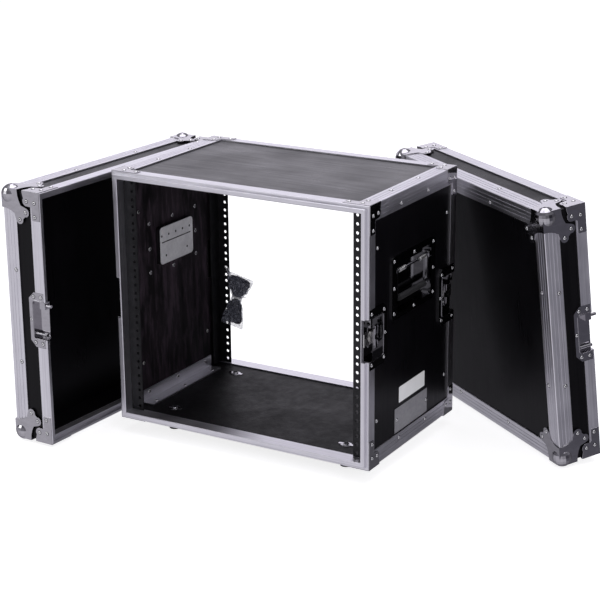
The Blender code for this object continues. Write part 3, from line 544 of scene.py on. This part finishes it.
def look_of_node(name):
    """Which look a CAD node takes, from its name."""
    for lid in LIDS:
        if name in (lid + "_rim", lid + "_edge_frame"):
            return lid + "_ring"
        if name == lid + "_tray":
            return lid + "_tray"
    # The dishes take the darker copy of the chrome, which is painted shade.
    endings = (("_side_panel", "side"), ("top_panel", "top"), ("floor_panel", "floor"),
               ("_rim", "case_ring"), ("_angle", "case_angle"),
               ("_rack_rail", "rail"), ("_foot", "rubber"), ("_plate", "name_plate"), ("_bail", "bail"),
               ("_rotor", "zinc"), ("_tongue", "zinc"), ("_dish", "painted_shade_chrome"))
    for ending, look in endings:
        if name.endswith(ending):
            return look
    return "chrome"


def dress_cad_nodes():
    for name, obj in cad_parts.items():
        obj.data.materials.clear()
        obj.data.materials.append(LOOKS[look_of_node(name)])


# ---------------------------------------------------------------- mesh tools

def add_prism(bm, outline, place, slot=0):
    """A closed prism: place(u, v, 0) and place(u, v, 1) map the outline to its two ends."""
    ends = [[bm.verts.new(place(u, v, end)) for u, v in outline] for end in (0, 1)]
    faces = [bm.faces.new(ends[0]), bm.faces.new(list(reversed(ends[1])))]
    for i in range(len(outline)):
        j = (i + 1) % len(outline)
        faces.append(bm.faces.new((ends[0][i], ends[1][i], ends[1][j], ends[0][j])))
    for face in faces:
        face.material_index = slot


def add_rings(bm, rings, closed=True):
    """Skin a list of rings of vertices, with a lid on each end unless the rings close on themselves."""
    pairs = list(zip(rings, rings[1:]))
    if closed:
        bm.faces.new(list(reversed(rings[0])))
        bm.faces.new(rings[-1])
    else:
        pairs.append((rings[-1], rings[0]))
    for here, after in pairs:
        for i in range(len(here)):
            j = (i + 1) % len(here)
            bm.faces.new((here[i], here[j], after[j], after[i]))


def add_band(bm, outer, inner, place):
    """A raised band between two outlines that have equally many points."""
    corners = ((outer, 0), (outer, 1), (inner, 1), (inner, 0))
    rings = [[bm.verts.new(place(u, v, end)) for u, v in outline] for outline, end in corners]
    add_rings(bm, rings, closed=False)


def add_tube(bm, path, radius, sides=8):
    """A round tube along a path, closed at both ends."""
    across = Vector((0.3, 1.0, 0.2))
    rings = []
    for i, point in enumerate(path):
        ahead = (path[min(i + 1, len(path) - 1)] - path[max(i - 1, 0)]).normalized()
        across = (across - ahead * across.dot(ahead)).normalized()
        beside = ahead.cross(across)
        angles = [2 * math.pi * k / sides for k in range(sides)]
        rings.append([bm.verts.new(point + radius * (math.cos(a) * across + math.sin(a) * beside))
                      for a in angles])
    add_rings(bm, rings)


def arc(centre, radius, start, end, steps):
    angles = [math.radians(start + (end - start) * i / steps) for i in range(steps + 1)]
    return [(centre[0] + radius * math.cos(a), centre[1] + radius * math.sin(a)) for a in angles]


def rounded_rectangle(low, high, radius, steps=4):
    corners = ((high[0], high[1], 0), (low[0], high[1], 90), (low[0], low[1], 180), (high[0], low[1], 270))
    points = []
    for u, v, start in corners:
        centre = (u + (radius if u == low[0] else -radius), v + (radius if v == low[1] else -radius))
        points += arc(centre, radius, start, start + 90, steps)
    return points


def add_turned(bm, point, normal, profile, sides, centre_slot=0, centre_rings=0):
    """A round piece on a surface, from its profile of (radius, height), outermost ring first.

    Its last rings, and the disc that closes it, may take another material slot.
    """
    turn = Vector(normal).to_track_quat("Z", "Y")
    rings = []
    for radius, height in profile:
        steps = [2 * math.pi * i / sides for i in range(sides)]
        rings.append([bm.verts.new(Vector(point) + turn @ Vector((radius * math.cos(a), radius * math.sin(a),
                                                                  height))) for a in steps])
    for k, (here, after) in enumerate(zip(rings, rings[1:])):
        for i in range(sides):
            j = (i + 1) % sides
            face = bm.faces.new((here[i], here[j], after[j], after[i]))
            face.material_index = centre_slot if k >= len(profile) - 1 - centre_rings else 0
    bm.faces.new(list(reversed(rings[0])))
    bm.faces.new(rings[-1]).material_index = centre_slot


def piece(name, bm, matrix, looks, body, bevel=0.0, sharp=38.0):
    """Turn a bmesh in a local frame into a finished piece that rides on a body."""
    bmesh.ops.recalc_face_normals(bm, faces=bm.faces)
    bm.transform(matrix)
    mesh = bpy.data.meshes.new(name)
    bm.to_mesh(mesh)
    bm.free()
    for look in looks:
        mesh.materials.append(LOOKS[look])
    mesh.shade_smooth()
    mesh.set_sharp_from_angle(angle=math.radians(sharp))
    obj = bpy.data.objects.new(name, mesh)
    bpy.context.scene.collection.objects.link(obj)
    if bevel:
        modifier = obj.modifiers.new("soft_edge", "BEVEL")
        modifier.width = bevel
        modifier.segments = 2
        modifier.limit_method = "ANGLE"
        modifier.harden_normals = True
    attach(obj, body)
    return obj


# ---------------------------------------------------------------- rivets and screws

def rivet_profile(radius=RIVET_R, height=RIVET_H):
    """A domed rivet with a hollow in its middle."""
    shares = ((1.0, -0.15), (1.0, 0.22), (0.93, 0.50), (0.76, 0.83), (0.56, 1.0), (0.44, 0.96),
              (0.36, 0.62), (0.24, 0.42))
    return [(radius * r, height * h) for r, h in shares]


def add_rivets(bm, spots):
    """Bright domes, each pressed into a thin dark ring of painted shade round its flange, with painted shade
    in its hollow middle.
    """
    for point, normal in spots:
        add_turned(bm, point, normal, PAINTED_SHADE_RING, RIVET_SIDES, centre_slot=1, centre_rings=len(PAINTED_SHADE_RING))
        add_turned(bm, point, normal, rivet_profile(), RIVET_SIDES, centre_slot=1, centre_rings=1)


def corner_spots(place, pattern, lift=0.0):
    """Spots on the two outer faces that meet along a corner's depth edge."""
    spots = []
    for along, down in pattern:
        spots.append((place(-lift, along, down), place(-1, 0, 0) - place(0, 0, 0)))
        spots.append((place(down, along, -lift), place(0, 0, -1) - place(0, 0, 0)))
    return spots


def corner_place(sign_x, top, rim_y, inward):
    """Maps (in from the side, along the depth, in from the top or bottom) to a frame's point."""
    def place(across, along, down):
        z = HEIGHT - down if top else down
        return Vector((sign_x * (HALF_W - across), rim_y + inward * along, z))
    return place


def rim_corners(rim_y, inward):
    return [corner_place(sign, top, rim_y, inward) for side, sign in SIDES for level, top in LEVELS]


def brace_outline():
    """One leaf of a brace: an arm along the depth with a lobe, and a longer leg beside the rim."""
    u, v, r = BRACE_LOBE
    f = BRACE_FILLET
    outline = [(BRACE_START, -BRACE_T), (BRACE_ARM, -BRACE_T), (BRACE_ARM, f)]
    outline += arc((u, v), r, -35, 90, 7)
    outline += [(BRACE_W + f, v + r)] + arc((BRACE_W + f, v + r + f), f, 270, 180, 3)
    outline += arc((BRACE_W - f, BRACE_LEG - f), f, 0, 90, 3)
    outline += [(BRACE_START, BRACE_LEG)]
    return outline


def add_brace(bm, place):
    """Two leaves that meet over the corner's edge, a little into the metal they lie on."""
    outline = brace_outline()
    heights = (-BRACE_T, BRACE_SUNK)
    add_prism(bm, outline, lambda u, v, end: place(heights[end], u, v))
    on_edge = [(u, max(v, 0.0)) for u, v in outline]
    add_prism(bm, on_edge, lambda u, v, end: place(v, u, heights[end]))


def build_braces():
    groups = (("case_corner_braces", CASE, "case_body", ((-HALF_D, 1), (HALF_D, -1))),
              ("front_lid_corner_braces", LIDS["front_lid"], "front_lid", ((0.0, 1),)),
              ("rear_lid_corner_braces", LIDS["rear_lid"], "rear_lid", ((0.0, 1),)))
    for name, matrix, body, rims in groups:
        bm = bmesh.new()
        for rim_y, inward in rims:
            for place in rim_corners(rim_y, inward):
                add_brace(bm, place)
        piece(name, bm, matrix, ("chrome",), body, bevel=0.35 * MM)


def side_spot(sign, y, z, lift=0.0):
    return (Vector((sign * (HALF_W + lift), y, z)), Vector((sign, 0, 0)))


def level_spot(top, x, y, lift=0.0):
    z = HEIGHT + lift if top else -lift
    return (Vector((x, y, z)), Vector((0, 0, 1 if top else -1)))


def face_spot(x, z):
    """A spot on a lid's outer face."""
    return (Vector((x, LID_D, z)), Vector((0, 1, 0)))


def case_rivet_spots():
    spots = []
    for rim_y, inward in ((-HALF_D, 1), (HALF_D, -1)):
        for place in rim_corners(rim_y, inward):
            spots += corner_spots(place, BRACE_RIVETS, BRACE_T)
        for side, sign in SIDES:
            for into, up in LATCH_RIVETS:
                spots.append(side_spot(sign, rim_y + inward * into * MM, LATCH_Z + up * MM))
    for side, sign in SIDES:
        for along in (-EDGE_RIVET_SPREAD, EDGE_RIVET_SPREAD):
            for level, top in LEVELS:
                z = HEIGHT - EDGE_RIVET_IN if top else EDGE_RIVET_IN
                spots.append(side_spot(sign, along, z))
                spots.append(level_spot(top, sign * (HALF_W - EDGE_RIVET_IN), along))
        for along, up in HANDLE_RIVETS:
            spots.append(side_spot(sign, along * MM, HANDLE_Z + up * MM))
        for end, sign_y in ENDS:
            for up in (-RAIL_SCREW_Z, RAIL_SCREW_Z):
                y = sign_y * (HALF_D - RAIL_SCREW_Y)
                spots.append(side_spot(sign, y, HEIGHT / 2 + up, -SKIN))
    return spots


def lid_rivet_spots():
    spots = []
    for place in rim_corners(0.0, 1):
        spots += corner_spots(place, BRACE_RIVETS, BRACE_T)
    for side, sign in SIDES:
        for into, up in KEEPER_RIVETS:
            spots.append(side_spot(sign, into * MM, LATCH_Z + up * MM))
        for up in (-LID_RIVET_SPREAD, LID_RIVET_SPREAD):
            spots.append(side_spot(sign, LID_D - LID_RIVET_IN, HEIGHT / 2 + up))
            spots.append(face_spot(sign * (HALF_W - LID_RIVET_IN), HEIGHT / 2 + up))
    for level, top in LEVELS:
        for x in (-LID_RIVET_SPREAD, LID_RIVET_SPREAD):
            spots.append(level_spot(top, x, LID_D - LID_RIVET_IN))
            z = HEIGHT - LID_RIVET_IN if top else LID_RIVET_IN
            spots.append(face_spot(x, z))
    return spots + leaf_rivet_spots()


def leaf_rivet_spots():
    """Two rivets on each of the three leaves of a lid's four ball corners."""
    spots = []
    for place in rim_corners(LID_D, -1):
        origin = place(0, 0, 0)
        for far, near in LEAF_RIVETS:
            spots.append((place(-LEAF_LIFT, far, near), place(-1, 0, 0) - origin))
            spots.append((place(far, near, -LEAF_LIFT), place(0, 0, -1) - origin))
            spots.append((place(far, -LEAF_LIFT, near), place(0, -1, 0) - origin))
    return spots


def inner_spots():
    """Rivet washers inside the case, and the rivets of the floor angles."""
    spots = []
    floor_top = INNER_IN + GAP + ANGLE_T
    for side, sign in SIDES:
        for along, up in HANDLE_RIVETS:
            spots.append((Vector((sign * (HALF_W - INNER_IN), along * MM, HANDLE_Z + up * MM)),
                          Vector((-sign, 0, 0))))
        for along in ANGLE_RIVET_Y:
            wall = HALF_W - floor_top
            spots.append((Vector((sign * (wall - ANGLE_RIVET_IN), along, floor_top)), Vector((0, 0, 1))))
            spots.append((Vector((sign * wall, along, floor_top + ANGLE_RIVET_IN)), Vector((-sign, 0, 0))))
    return spots


def build_rivets():
    bm = bmesh.new()
    for point, normal in inner_spots():
        # The hollow middle of each washer takes the dark look: painted shade.
        add_turned(bm, point, normal, rivet_profile(WASHER_R, WASHER_H), RIVET_SIDES, 1, 2)
    piece("inner_rivet_washers", bm, CASE, ("rivet", "dark"), "case_body")
    bm = bmesh.new()
    plate = [side_spot(1, along * MM, up * MM, PLATE_LIFT) for along, up in PLATE_RIVETS]
    add_rivets(bm, case_rivet_spots() + plate)
    piece("case_rivets", bm, CASE, ("rivet", "dark"), "case_body")
    for lid, matrix in LIDS.items():
        bm = bmesh.new()
        add_rivets(bm, lid_rivet_spots())
        piece(lid + "_rivets", bm, matrix, ("rivet", "dark"), lid)


def add_screw(bm, point, normal):
    """A pan head with a cross recess, whose shade is painted as a dark cross."""
    shares = ((1.0, -0.1), (1.0, 0.35), (0.84, 0.78), (0.5, 1.0))
    add_turned(bm, point, normal, [(SCREW_R * r, SCREW_H * h) for r, h in shares], RIVET_SIDES)
    turn = Vector(normal).to_track_quat("Z", "Y")
    heights = (0.5 * SCREW_H, 1.04 * SCREW_H)
    for u, v in ((CROSS_LONG, CROSS_SHORT), (CROSS_SHORT, CROSS_LONG)):
        outline = [(SCREW_R * a, SCREW_R * b) for a, b in ((-u, -v), (u, -v), (u, v), (-u, v))]
        add_prism(bm, outline, lambda a, b, end: point + turn @ Vector((a, b, heights[end])), slot=1)


def build_screws():
    """The wall screws behind the rails, and the flanged nuts that hold the feet."""
    bm = bmesh.new()
    for sign, sign_y, up in itertools.product((-1, 1), (-1, 1), (-1, 1)):
        point = Vector((sign * (HALF_W - INNER_IN), sign_y * WALL_SCREW[0], HEIGHT / 2 + up * WALL_SCREW[1]))
        add_screw(bm, point, Vector((-sign, 0, 0)))
    piece("wall_screws", bm, CASE, ("zinc", "dark"), "case_body")
    bm = bmesh.new()
    shares = ((1.0, -0.1), (1.0, 0.5), (0.9, 0.9), (0.58, 1.0), (0.52, 2.6), (0.42, 3.0), (0.36, 1.4))
    profile = [(NUT_R * r, h * MM) for r, h in shares]
    wing_x, wing_y = NUT_WING
    outline = rounded_rectangle((-wing_x, -wing_y), (wing_x, wing_y), NUT_WING_R)
    for sign, sign_y in itertools.product((-1, 1), (-1, 1)):
        point = Vector((sign * NUT_AT[0], sign_y * NUT_AT[1], INNER_IN))
        # The bore of each nut takes the dark look: painted shade.
        add_turned(bm, point, Vector((0, 0, 1)), profile, RIVET_SIDES, 1, 1)
        for wing in (-1, 1):
            centre = point + Vector((wing * NUT_R, 0, 0))
            add_prism(bm, outline, lambda u, v, end: centre + Vector((u, v, NUT_WING_Z[end])))
    piece("floor_nuts", bm, CASE, ("chrome", "dark"), "case_body", bevel=0.25 * MM)


# ---------------------------------------------------------------- handles, latches, keepers, label

def at_side(sign, depths, middle_z=0.0):
    """Maps (y, z, end) to a side wall, each end at its own depth below the outside of the edging."""
    return lambda y, z, end: Vector((sign * (HALF_W - depths[end]), y, middle_z + z))


def build_handle_backs():
    """The plate that backs each handle inside the case: rolled rim, holes and a folded slot, with painted
    shade in the holes and the slot.
    """
    half_y, half_z = BACK_HALF
    inner_y, inner_z = half_y - BACK_RIM, half_z - BACK_RIM
    sheet = rounded_rectangle((-half_y, -half_z), (half_y, half_z), BACK_R)
    inner = rounded_rectangle((-inner_y, -inner_z), (inner_y, inner_z), BACK_R - BACK_RIM)
    slot = rounded_rectangle(BACK_FOLD[0], BACK_FOLD[1], BACK_FOLD_R)
    shares = ((1.35, -0.1), (1.3, 0.3), (1.05, 0.5), (0.9, 0.2))
    profile = [(BACK_HOLE_R * r, h * MM) for r, h in shares]
    for side, sign in SIDES:
        bm = bmesh.new()
        for along, up in BACK_HOLES:
            x = sign * (HALF_W - BACK_IN - BACK_SHEET)
            point = Vector((x, along * MM, HANDLE_Z + up * MM))
            add_turned(bm, point, Vector((-sign, 0, 0)), profile, RIVET_SIDES, 1, 1)
        start = BACK_IN - BACK_SUNK
        add_prism(bm, slot, at_side(sign, (start, BACK_IN + BACK_FOLD_H), HANDLE_Z), slot=1)
        add_prism(bm, sheet, at_side(sign, (start, BACK_IN + BACK_SHEET), HANDLE_Z))
        add_band(bm, sheet, inner, at_side(sign, (start, BACK_IN + BACK_RIM_H), HANDLE_Z))
        name = side + "_handle_back"
        piece(name, bm, CASE, ("plate", "dark"), "case_body", bevel=0.25 * MM)


def spring_path(x, z, y_range):
    points = []
    count = SPRING_TURNS * SPRING_STEPS
    for i in range(count + 1):
        a = 2 * math.pi * i / SPRING_STEPS
        y = y_range[0] + (y_range[1] - y_range[0]) * i / count
        points.append(Vector((x + SPRING_R * math.cos(a), y, z + SPRING_R * math.sin(a))))
    return points


def build_handle_springs():
    """Return springs round each handle's rod, and the lugs that carry the rod."""
    rod_z = HANDLE_Z + ROD_Z
    (back, front), (low, high) = LUG_IN, LUG_Z
    outline = [(back, low), (front + LUG_CUT, low), (front, low + 2 * LUG_CUT),
               (front, high - 1.5 * LUG_CUT), (front + LUG_CUT, high), (back, high)]
    for side, sign in SIDES:
        bm = bmesh.new()
        for sign_y in (-1, 1):
            ends = [sign_y * y for y in SPRING_Y]
            add_tube(bm, spring_path(sign * (HALF_W - ROD_IN), rod_z, ends), SPRING_WIRE, 6)
        piece(side + "_handle_springs", bm, CASE, ("zinc",), "case_body")
        bm = bmesh.new()
        for sign_y in (-1, 1):
            def place(u, v, end):
                return Vector((sign * (HALF_W - u), sign_y * LUG_Y[end], rod_z + v))

            add_prism(bm, outline, place)
        piece(side + "_handle_lugs", bm, CASE, ("chrome",), "case_body", bevel=0.3 * MM)


def channel_outline(start, end, half, width, radius):
    """A flat U: two arms from start to a bend at end, with rounded corners."""
    path = []
    for inset in (0.0, width):
        r = radius - inset
        bend = arc((end - radius, radius - half), r, 270, 360, 5)
        bend += arc((end - radius, half - radius), r, 0, 90, 5)
        path.append([(start, inset - half)] + bend + [(start, half - inset)])
    return path[0] + list(reversed(path[1]))


def build_beads():
    """The pressed bead round the cup of each latch and keeper."""
    heights = (-BEAD_SUNK, BEAD_H)
    bm = bmesh.new()
    outline = channel_outline(*LATCH_BEAD, BEAD_W, BEAD_R)
    for (side, sign), (end_name, sign_y) in itertools.product(SIDES, ENDS):
        def place(u, v, end):
            return Vector((sign * (HALF_W + heights[end]), sign_y * (HALF_D - u), LATCH_Z + v))

        add_prism(bm, outline, place)
    piece("latch_beads", bm, CASE, ("chrome",), "case_body", bevel=0.35 * MM)
    outline = channel_outline(*KEEPER_BEAD, BEAD_W, BEAD_R)
    for lid, matrix in LIDS.items():
        bm = bmesh.new()
        for side, sign in SIDES:
            add_prism(bm, outline,
                      lambda u, v, end: Vector((sign * (HALF_W + heights[end]), u, LATCH_Z + v)))
        piece(lid + "_keeper_beads", bm, matrix, ("chrome",), lid, bevel=0.35 * MM)


def build_key_ridges():
    """Each key's pressed ridges, one on each wing, and the barrel of its hinge."""
    count = len(KEY_RIDGE)
    middle = [sum(point[i] for point in KEY_RIDGE) / count for i in (0, 1)]
    inner = [[m + KEY_RIDGE_SHARE * (p - m) for p, m in zip(point, middle)] for point in KEY_RIDGE]
    for (side, sign), (end_name, sign_y) in itertools.product(SIDES, ENDS):
        def place(u, v, end):
            x = sign * (HALF_W - CUP_FLOOR + KEY_TOP + (-BEAD_SUNK, KEY_RIDGE_H)[end])
            return Vector((x, sign_y * (HALF_D - HUB_IN - u * MM), LATCH_Z + v * MM))

        bm = bmesh.new()
        for wing in (-1, 1):
            add_band(bm, [(u, wing * v) for u, v in KEY_RIDGE], [(u, wing * v) for u, v in inner], place)
        hinge = Vector((sign * (HALF_W - CUP_FLOOR + KEY_MIDDLE), sign_y * (HALF_D - HUB_IN), LATCH_Z))
        ends = [hinge + Vector((0, 0, share * BARREL_HALF)) for share in (-1.0, -0.97, 0.97, 1.0)]
        add_tube(bm, ends, BARREL_R, 12)
        name = "%s_%s_key" % (end_name, side)
        piece(name + "_ridges", bm, CASE, ("chrome",), name, bevel=0.2 * MM)


def build_label():
    """A blank paper label on the right side, above the name plate."""
    bm = bmesh.new()
    low, high = [(y - HALF_D, z) for y, z in zip(LABEL_Y, LABEL_Z)]
    add_prism(bm, rounded_rectangle(low, high, LABEL_R), at_side(1, (SKIN, SKIN - LABEL_T)))
    piece("blank_label", bm, CASE, ("label",), "case_body")


# ---------------------------------------------------------------- the bag of rack screws

def bag_row(share):
    """Half the width and half the depth of the bag at a share of its length, eased between its rows."""
    for (start, *first), (stop, *second) in zip(BAG_SHAPE, BAG_SHAPE[1:]):
        if share <= stop:
            t = (share - start) / (stop - start)
            t = t * t * (3 - 2 * t)
            return [(a + (b - a) * t) * MM for a, b in zip(first, second)]
    return [size * MM for size in BAG_SHAPE[-1][1:]]


def bag_axes():
    across = BAG_AXIS.cross(Vector((0, 1, 0))).normalized()
    return across, BAG_AXIS.cross(across).normalized()


def bag_point(share, angle):
    """A point of the film: its oval, pleated towards the waist and crinkled all over."""
    across, deep = bag_axes()
    half_width, half_depth = bag_row(share)
    pinch = math.exp(-((share - BAG_WAIST) / WAIST_REACH) ** 2)
    flat = min(1.0, half_depth / FULL_CRINKLE)
    pleat = 1 + PLEAT_DEPTH * pinch * math.sin(BAG_PLEATS * angle + 5 * share)
    point = BAG_TOP + BAG_AXIS * (share * BAG_LENGTH)
    point += across * (half_width * pleat * math.cos(angle)) + deep * (half_depth * pleat * math.sin(angle))
    folds = noise.noise_vector(Vector((point.x * 70, point.y * 70, point.z * 45)))
    fine = noise.noise_vector(point * 260)
    return point + (folds * 0.8 + fine * 0.3) * BAG_CRINKLE * flat


def build_bag():
    bm = bmesh.new()
    rings = []
    for k in range(BAG_RINGS + 1):
        angles = [2 * math.pi * i / BAG_SIDES for i in range(BAG_SIDES)]
        rings.append([bm.verts.new(bag_point(k / BAG_RINGS, a)) for a in angles])
    add_rings(bm, rings)
    bag = piece("screw_bag_film", bm, CASE, ("film",), "case_body", sharp=60.0)
    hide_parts("screw_bag")


def spread_number(seed):
    """A steady number from 0 to 1 for a seed."""
    return (math.sin(seed * 12.9898) * 43758.5453) % 1.0


def add_screw_heap(bm, share, half_share):
    """The dense middle of a lobe, where the screws lie too close to be told apart."""
    rings = []
    for k in range(HEAP_RINGS + 1):
        along = 2 * k / HEAP_RINGS - 1
        fill = HEAP_FILL * max(1.02 - along ** 4, 0.0) ** 0.25
        here = share + along * half_share
        middle = BAG_TOP + BAG_AXIS * (here * BAG_LENGTH)
        angles = [2 * math.pi * i / BAG_SIDES for i in range(BAG_SIDES)]
        points = [middle + (bag_point(here, a) - middle) * fill for a in angles]
        rings.append([bm.verts.new(p + noise.noise_vector(p * 420) * HEAP_LUMPS) for p in points])
    add_rings(bm, rings)


def build_bag_screws():
    """Black rack screws lying in the two lobes of the bag."""
    across, deep = bag_axes()
    bm = bmesh.new()
    profile = [(r * MM * SCREW_SHRINK, (h - 6) * MM * SCREW_SHRINK) for r, h in RACK_SCREW]
    for share, half_share in LOBES:
        add_screw_heap(bm, share, half_share)
    for lobe, (share, half_share) in enumerate(LOBES):
        for k in range(SCREWS_PER_LOBE):
            u, v, w, turn, tip = [2 * spread_number(17 * k + 101 * lobe + n) - 1 for n in range(1, 6)]
            centre = BAG_TOP + BAG_AXIS * ((share + w * half_share) * BAG_LENGTH)
            width, depth = bag_row(share + w * half_share)
            centre += across * (u * 0.70 * width) + deep * (v * 0.5 * depth)
            heading = BAG_AXIS * math.cos(2.6 * turn) + across * math.sin(2.6 * turn) + deep * 0.25 * tip
            add_turned(bm, centre, heading.normalized(), profile, 12)
    piece("bag_screws", bm, CASE, ("screws",), "case_body")


def build_bag_ties():
    """The twist that closes the bag's waist, and the loop that hangs it from a hole of the rail."""
    across, deep = bag_axes()
    waist = BAG_TOP + BAG_AXIS * (BAG_WAIST * BAG_LENGTH)
    half_width, half_depth = [half + TIE_R for half in bag_row(BAG_WAIST)]
    path = []
    for i in range(TIE_TURNS * TIE_STEPS + 1):
        a = 2 * math.pi * i / TIE_STEPS
        drop = (i / TIE_STEPS - TIE_TURNS / 2) * 2 * TIE_R
        path.append(waist + across * (half_width * math.cos(a)) + deep * (half_depth * math.sin(a))
                    + BAG_AXIS * drop)
    for reach in (4 * MM, 8 * MM, 12 * MM):
        path.append(waist + TO_RIGHT * (half_width + reach) - BAG_AXIS * (0.25 * reach))
    bm = bmesh.new()
    add_tube(bm, path, TIE_R, 8)
    hook = BAG_TOP - TO_RIGHT * HOOK_IN + BAG_AXIS * HOOK_DROP
    middle = (hook + TIE_HOLE) / 2
    half = (TIE_HOLE - hook) * LOOP_SLACK / 2
    lift = Vector((0, 0, LOOP_LIFT))
    angles = [2 * math.pi * i / LOOP_STEPS for i in range(LOOP_STEPS + 1)]
    add_tube(bm, [middle + half * math.cos(a) + lift * math.sin(a) for a in angles], TIE_R, 8)
    piece("bag_ties", bm, CASE, ("label",), "case_body")


# ---------------------------------------------------------------- stage

def build_stage():
    mesh = bpy.data.meshes.new("floor")
    reach = 40.0
    corners = [(-reach, -reach, 0), (reach, -reach, 0), (reach, reach, 0), (-reach, reach, 0)]
    mesh.from_pydata(corners, [], [(0, 1, 2, 3)])
    floor = bpy.data.objects.new("floor", mesh)
    bpy.context.scene.collection.objects.link(floor)
    floor.visible_glossy = False    # so that the metals reflect the graded studio instead
    look = Look("white_floor", specular=0.0)
    tone = look.noise(look.place(), 3.0)
    look.colour(look.blend(tone, (0.58, 0.58, 0.585), (0.62, 0.62, 0.62)))
    look.roughness(0.9)
    look.shader.inputs["Emission Color"].default_value = (1, 1, 1, 1)
    look.shader.inputs["Emission Strength"].default_value = FLOOR_GLOW
    mesh.materials.append(look.material)


def build_world():
    """A soft studio: bright overhead, falling off towards the rear below, with a dark flag on the right."""
    world = bpy.data.worlds.new("studio")
    bpy.context.scene.world = world
    world.use_nodes = True
    nodes, links = world.node_tree.nodes, world.node_tree.links
    apart = nodes.new("ShaderNodeSeparateXYZ")
    links.new(nodes.new("ShaderNodeTexCoord").outputs["Generated"], apart.inputs[0])

    def graded(axis, low, high, stops):
        """A ramp along one axis of the direction, from low to high."""
        span = nodes.new("ShaderNodeMapRange")
        span.inputs["From Min"].default_value = low
        span.inputs["From Max"].default_value = high
        ramp = nodes.new("ShaderNodeValToRGB")
        for extra in stops[2:]:
            ramp.color_ramp.elements.new(extra[0])
        for element, (at, colour) in zip(ramp.color_ramp.elements, stops):
            element.position = at
            element.color = (*colour, 1.0)
        links.new(apart.outputs[axis], span.inputs["Value"])
        links.new(span.outputs[0], ramp.inputs[0])
        return ramp.outputs[0]

    mix = nodes.new("ShaderNodeMix")
    mix.data_type = "RGBA"
    links.new(graded("Z", -0.12, 0.30, ((0.0, (0, 0, 0)), (1.0, (1, 1, 1)))), mix.inputs["Factor"])
    links.new(graded("Y", -1.0, 1.0, LOWER_STUDIO), mix.inputs[6])
    links.new(graded("Z", 0.0, 1.0, UPPER_STUDIO), mix.inputs[7])
    flagged = nodes.new("ShaderNodeMix")
    flagged.data_type = "RGBA"
    flagged.blend_type = "MULTIPLY"
    flagged.inputs["Factor"].default_value = 1.0
    links.new(mix.outputs[2], flagged.inputs[6])
    links.new(graded("X", 0.84, 0.93, RIGHT_FLAG), flagged.inputs[7])
    links.new(flagged.outputs[2], nodes["Background"].inputs[0])
    nodes["Background"].inputs[1].default_value = 1.0


def area_light(name, at, target, size, power, colour=(1, 1, 1)):
    light = bpy.data.lights.new(name, "AREA")
    light.shape = "RECTANGLE"
    light.size, light.size_y = size
    light.energy = power
    light.color = colour
    obj = bpy.data.objects.new(name, light)
    bpy.context.scene.collection.objects.link(obj)
    obj.location = at
    obj.rotation_euler = (Vector(target) - Vector(at)).to_track_quat("-Z", "Y").to_euler()


def build_lights():
    middle = (0, 0, 0.25)
    area_light("overhead", (0.0, 0.3, 2.8), middle, (3.0, 2.4), 42, WARM_VIOLET)
    area_light("behind", (-2.8, 3.6, 1.5), (0, 0, 0.6), (5.0, 2.4), 36, WARM_VIOLET)
    area_light("left_box", (-2.6, -1.8, 1.5), middle, (1.0, 1.8), 18)
    area_light("right_box", (2.7, -1.2, 1.7), middle, (0.9, 1.8), 9)


def build_camera():
    data = bpy.data.cameras.new("camera")
    data.lens = CAMERA_LENS
    data.sensor_width = 36
    data.shift_x, data.shift_y = CAMERA_SHIFT
    camera = bpy.data.objects.new("camera", data)
    bpy.context.scene.collection.objects.link(camera)
    camera.location = CAMERA_AT
    camera.rotation_euler = (math.radians(CAMERA_PITCH), 0, math.radians(CAMERA_TURN))
    bpy.context.scene.camera = camera


noise.seed_set(BAG_SEED)
dress_cad_nodes()
build_braces()
build_rivets()
build_screws()
build_handle_backs()
build_handle_springs()
build_beads()
build_key_ridges()
build_label()
build_bag()
build_bag_screws()
build_bag_ties()
build_stage()
build_world()
build_lights()
build_camera()
bpy.context.scene.view_settings.view_transform = "Standard"
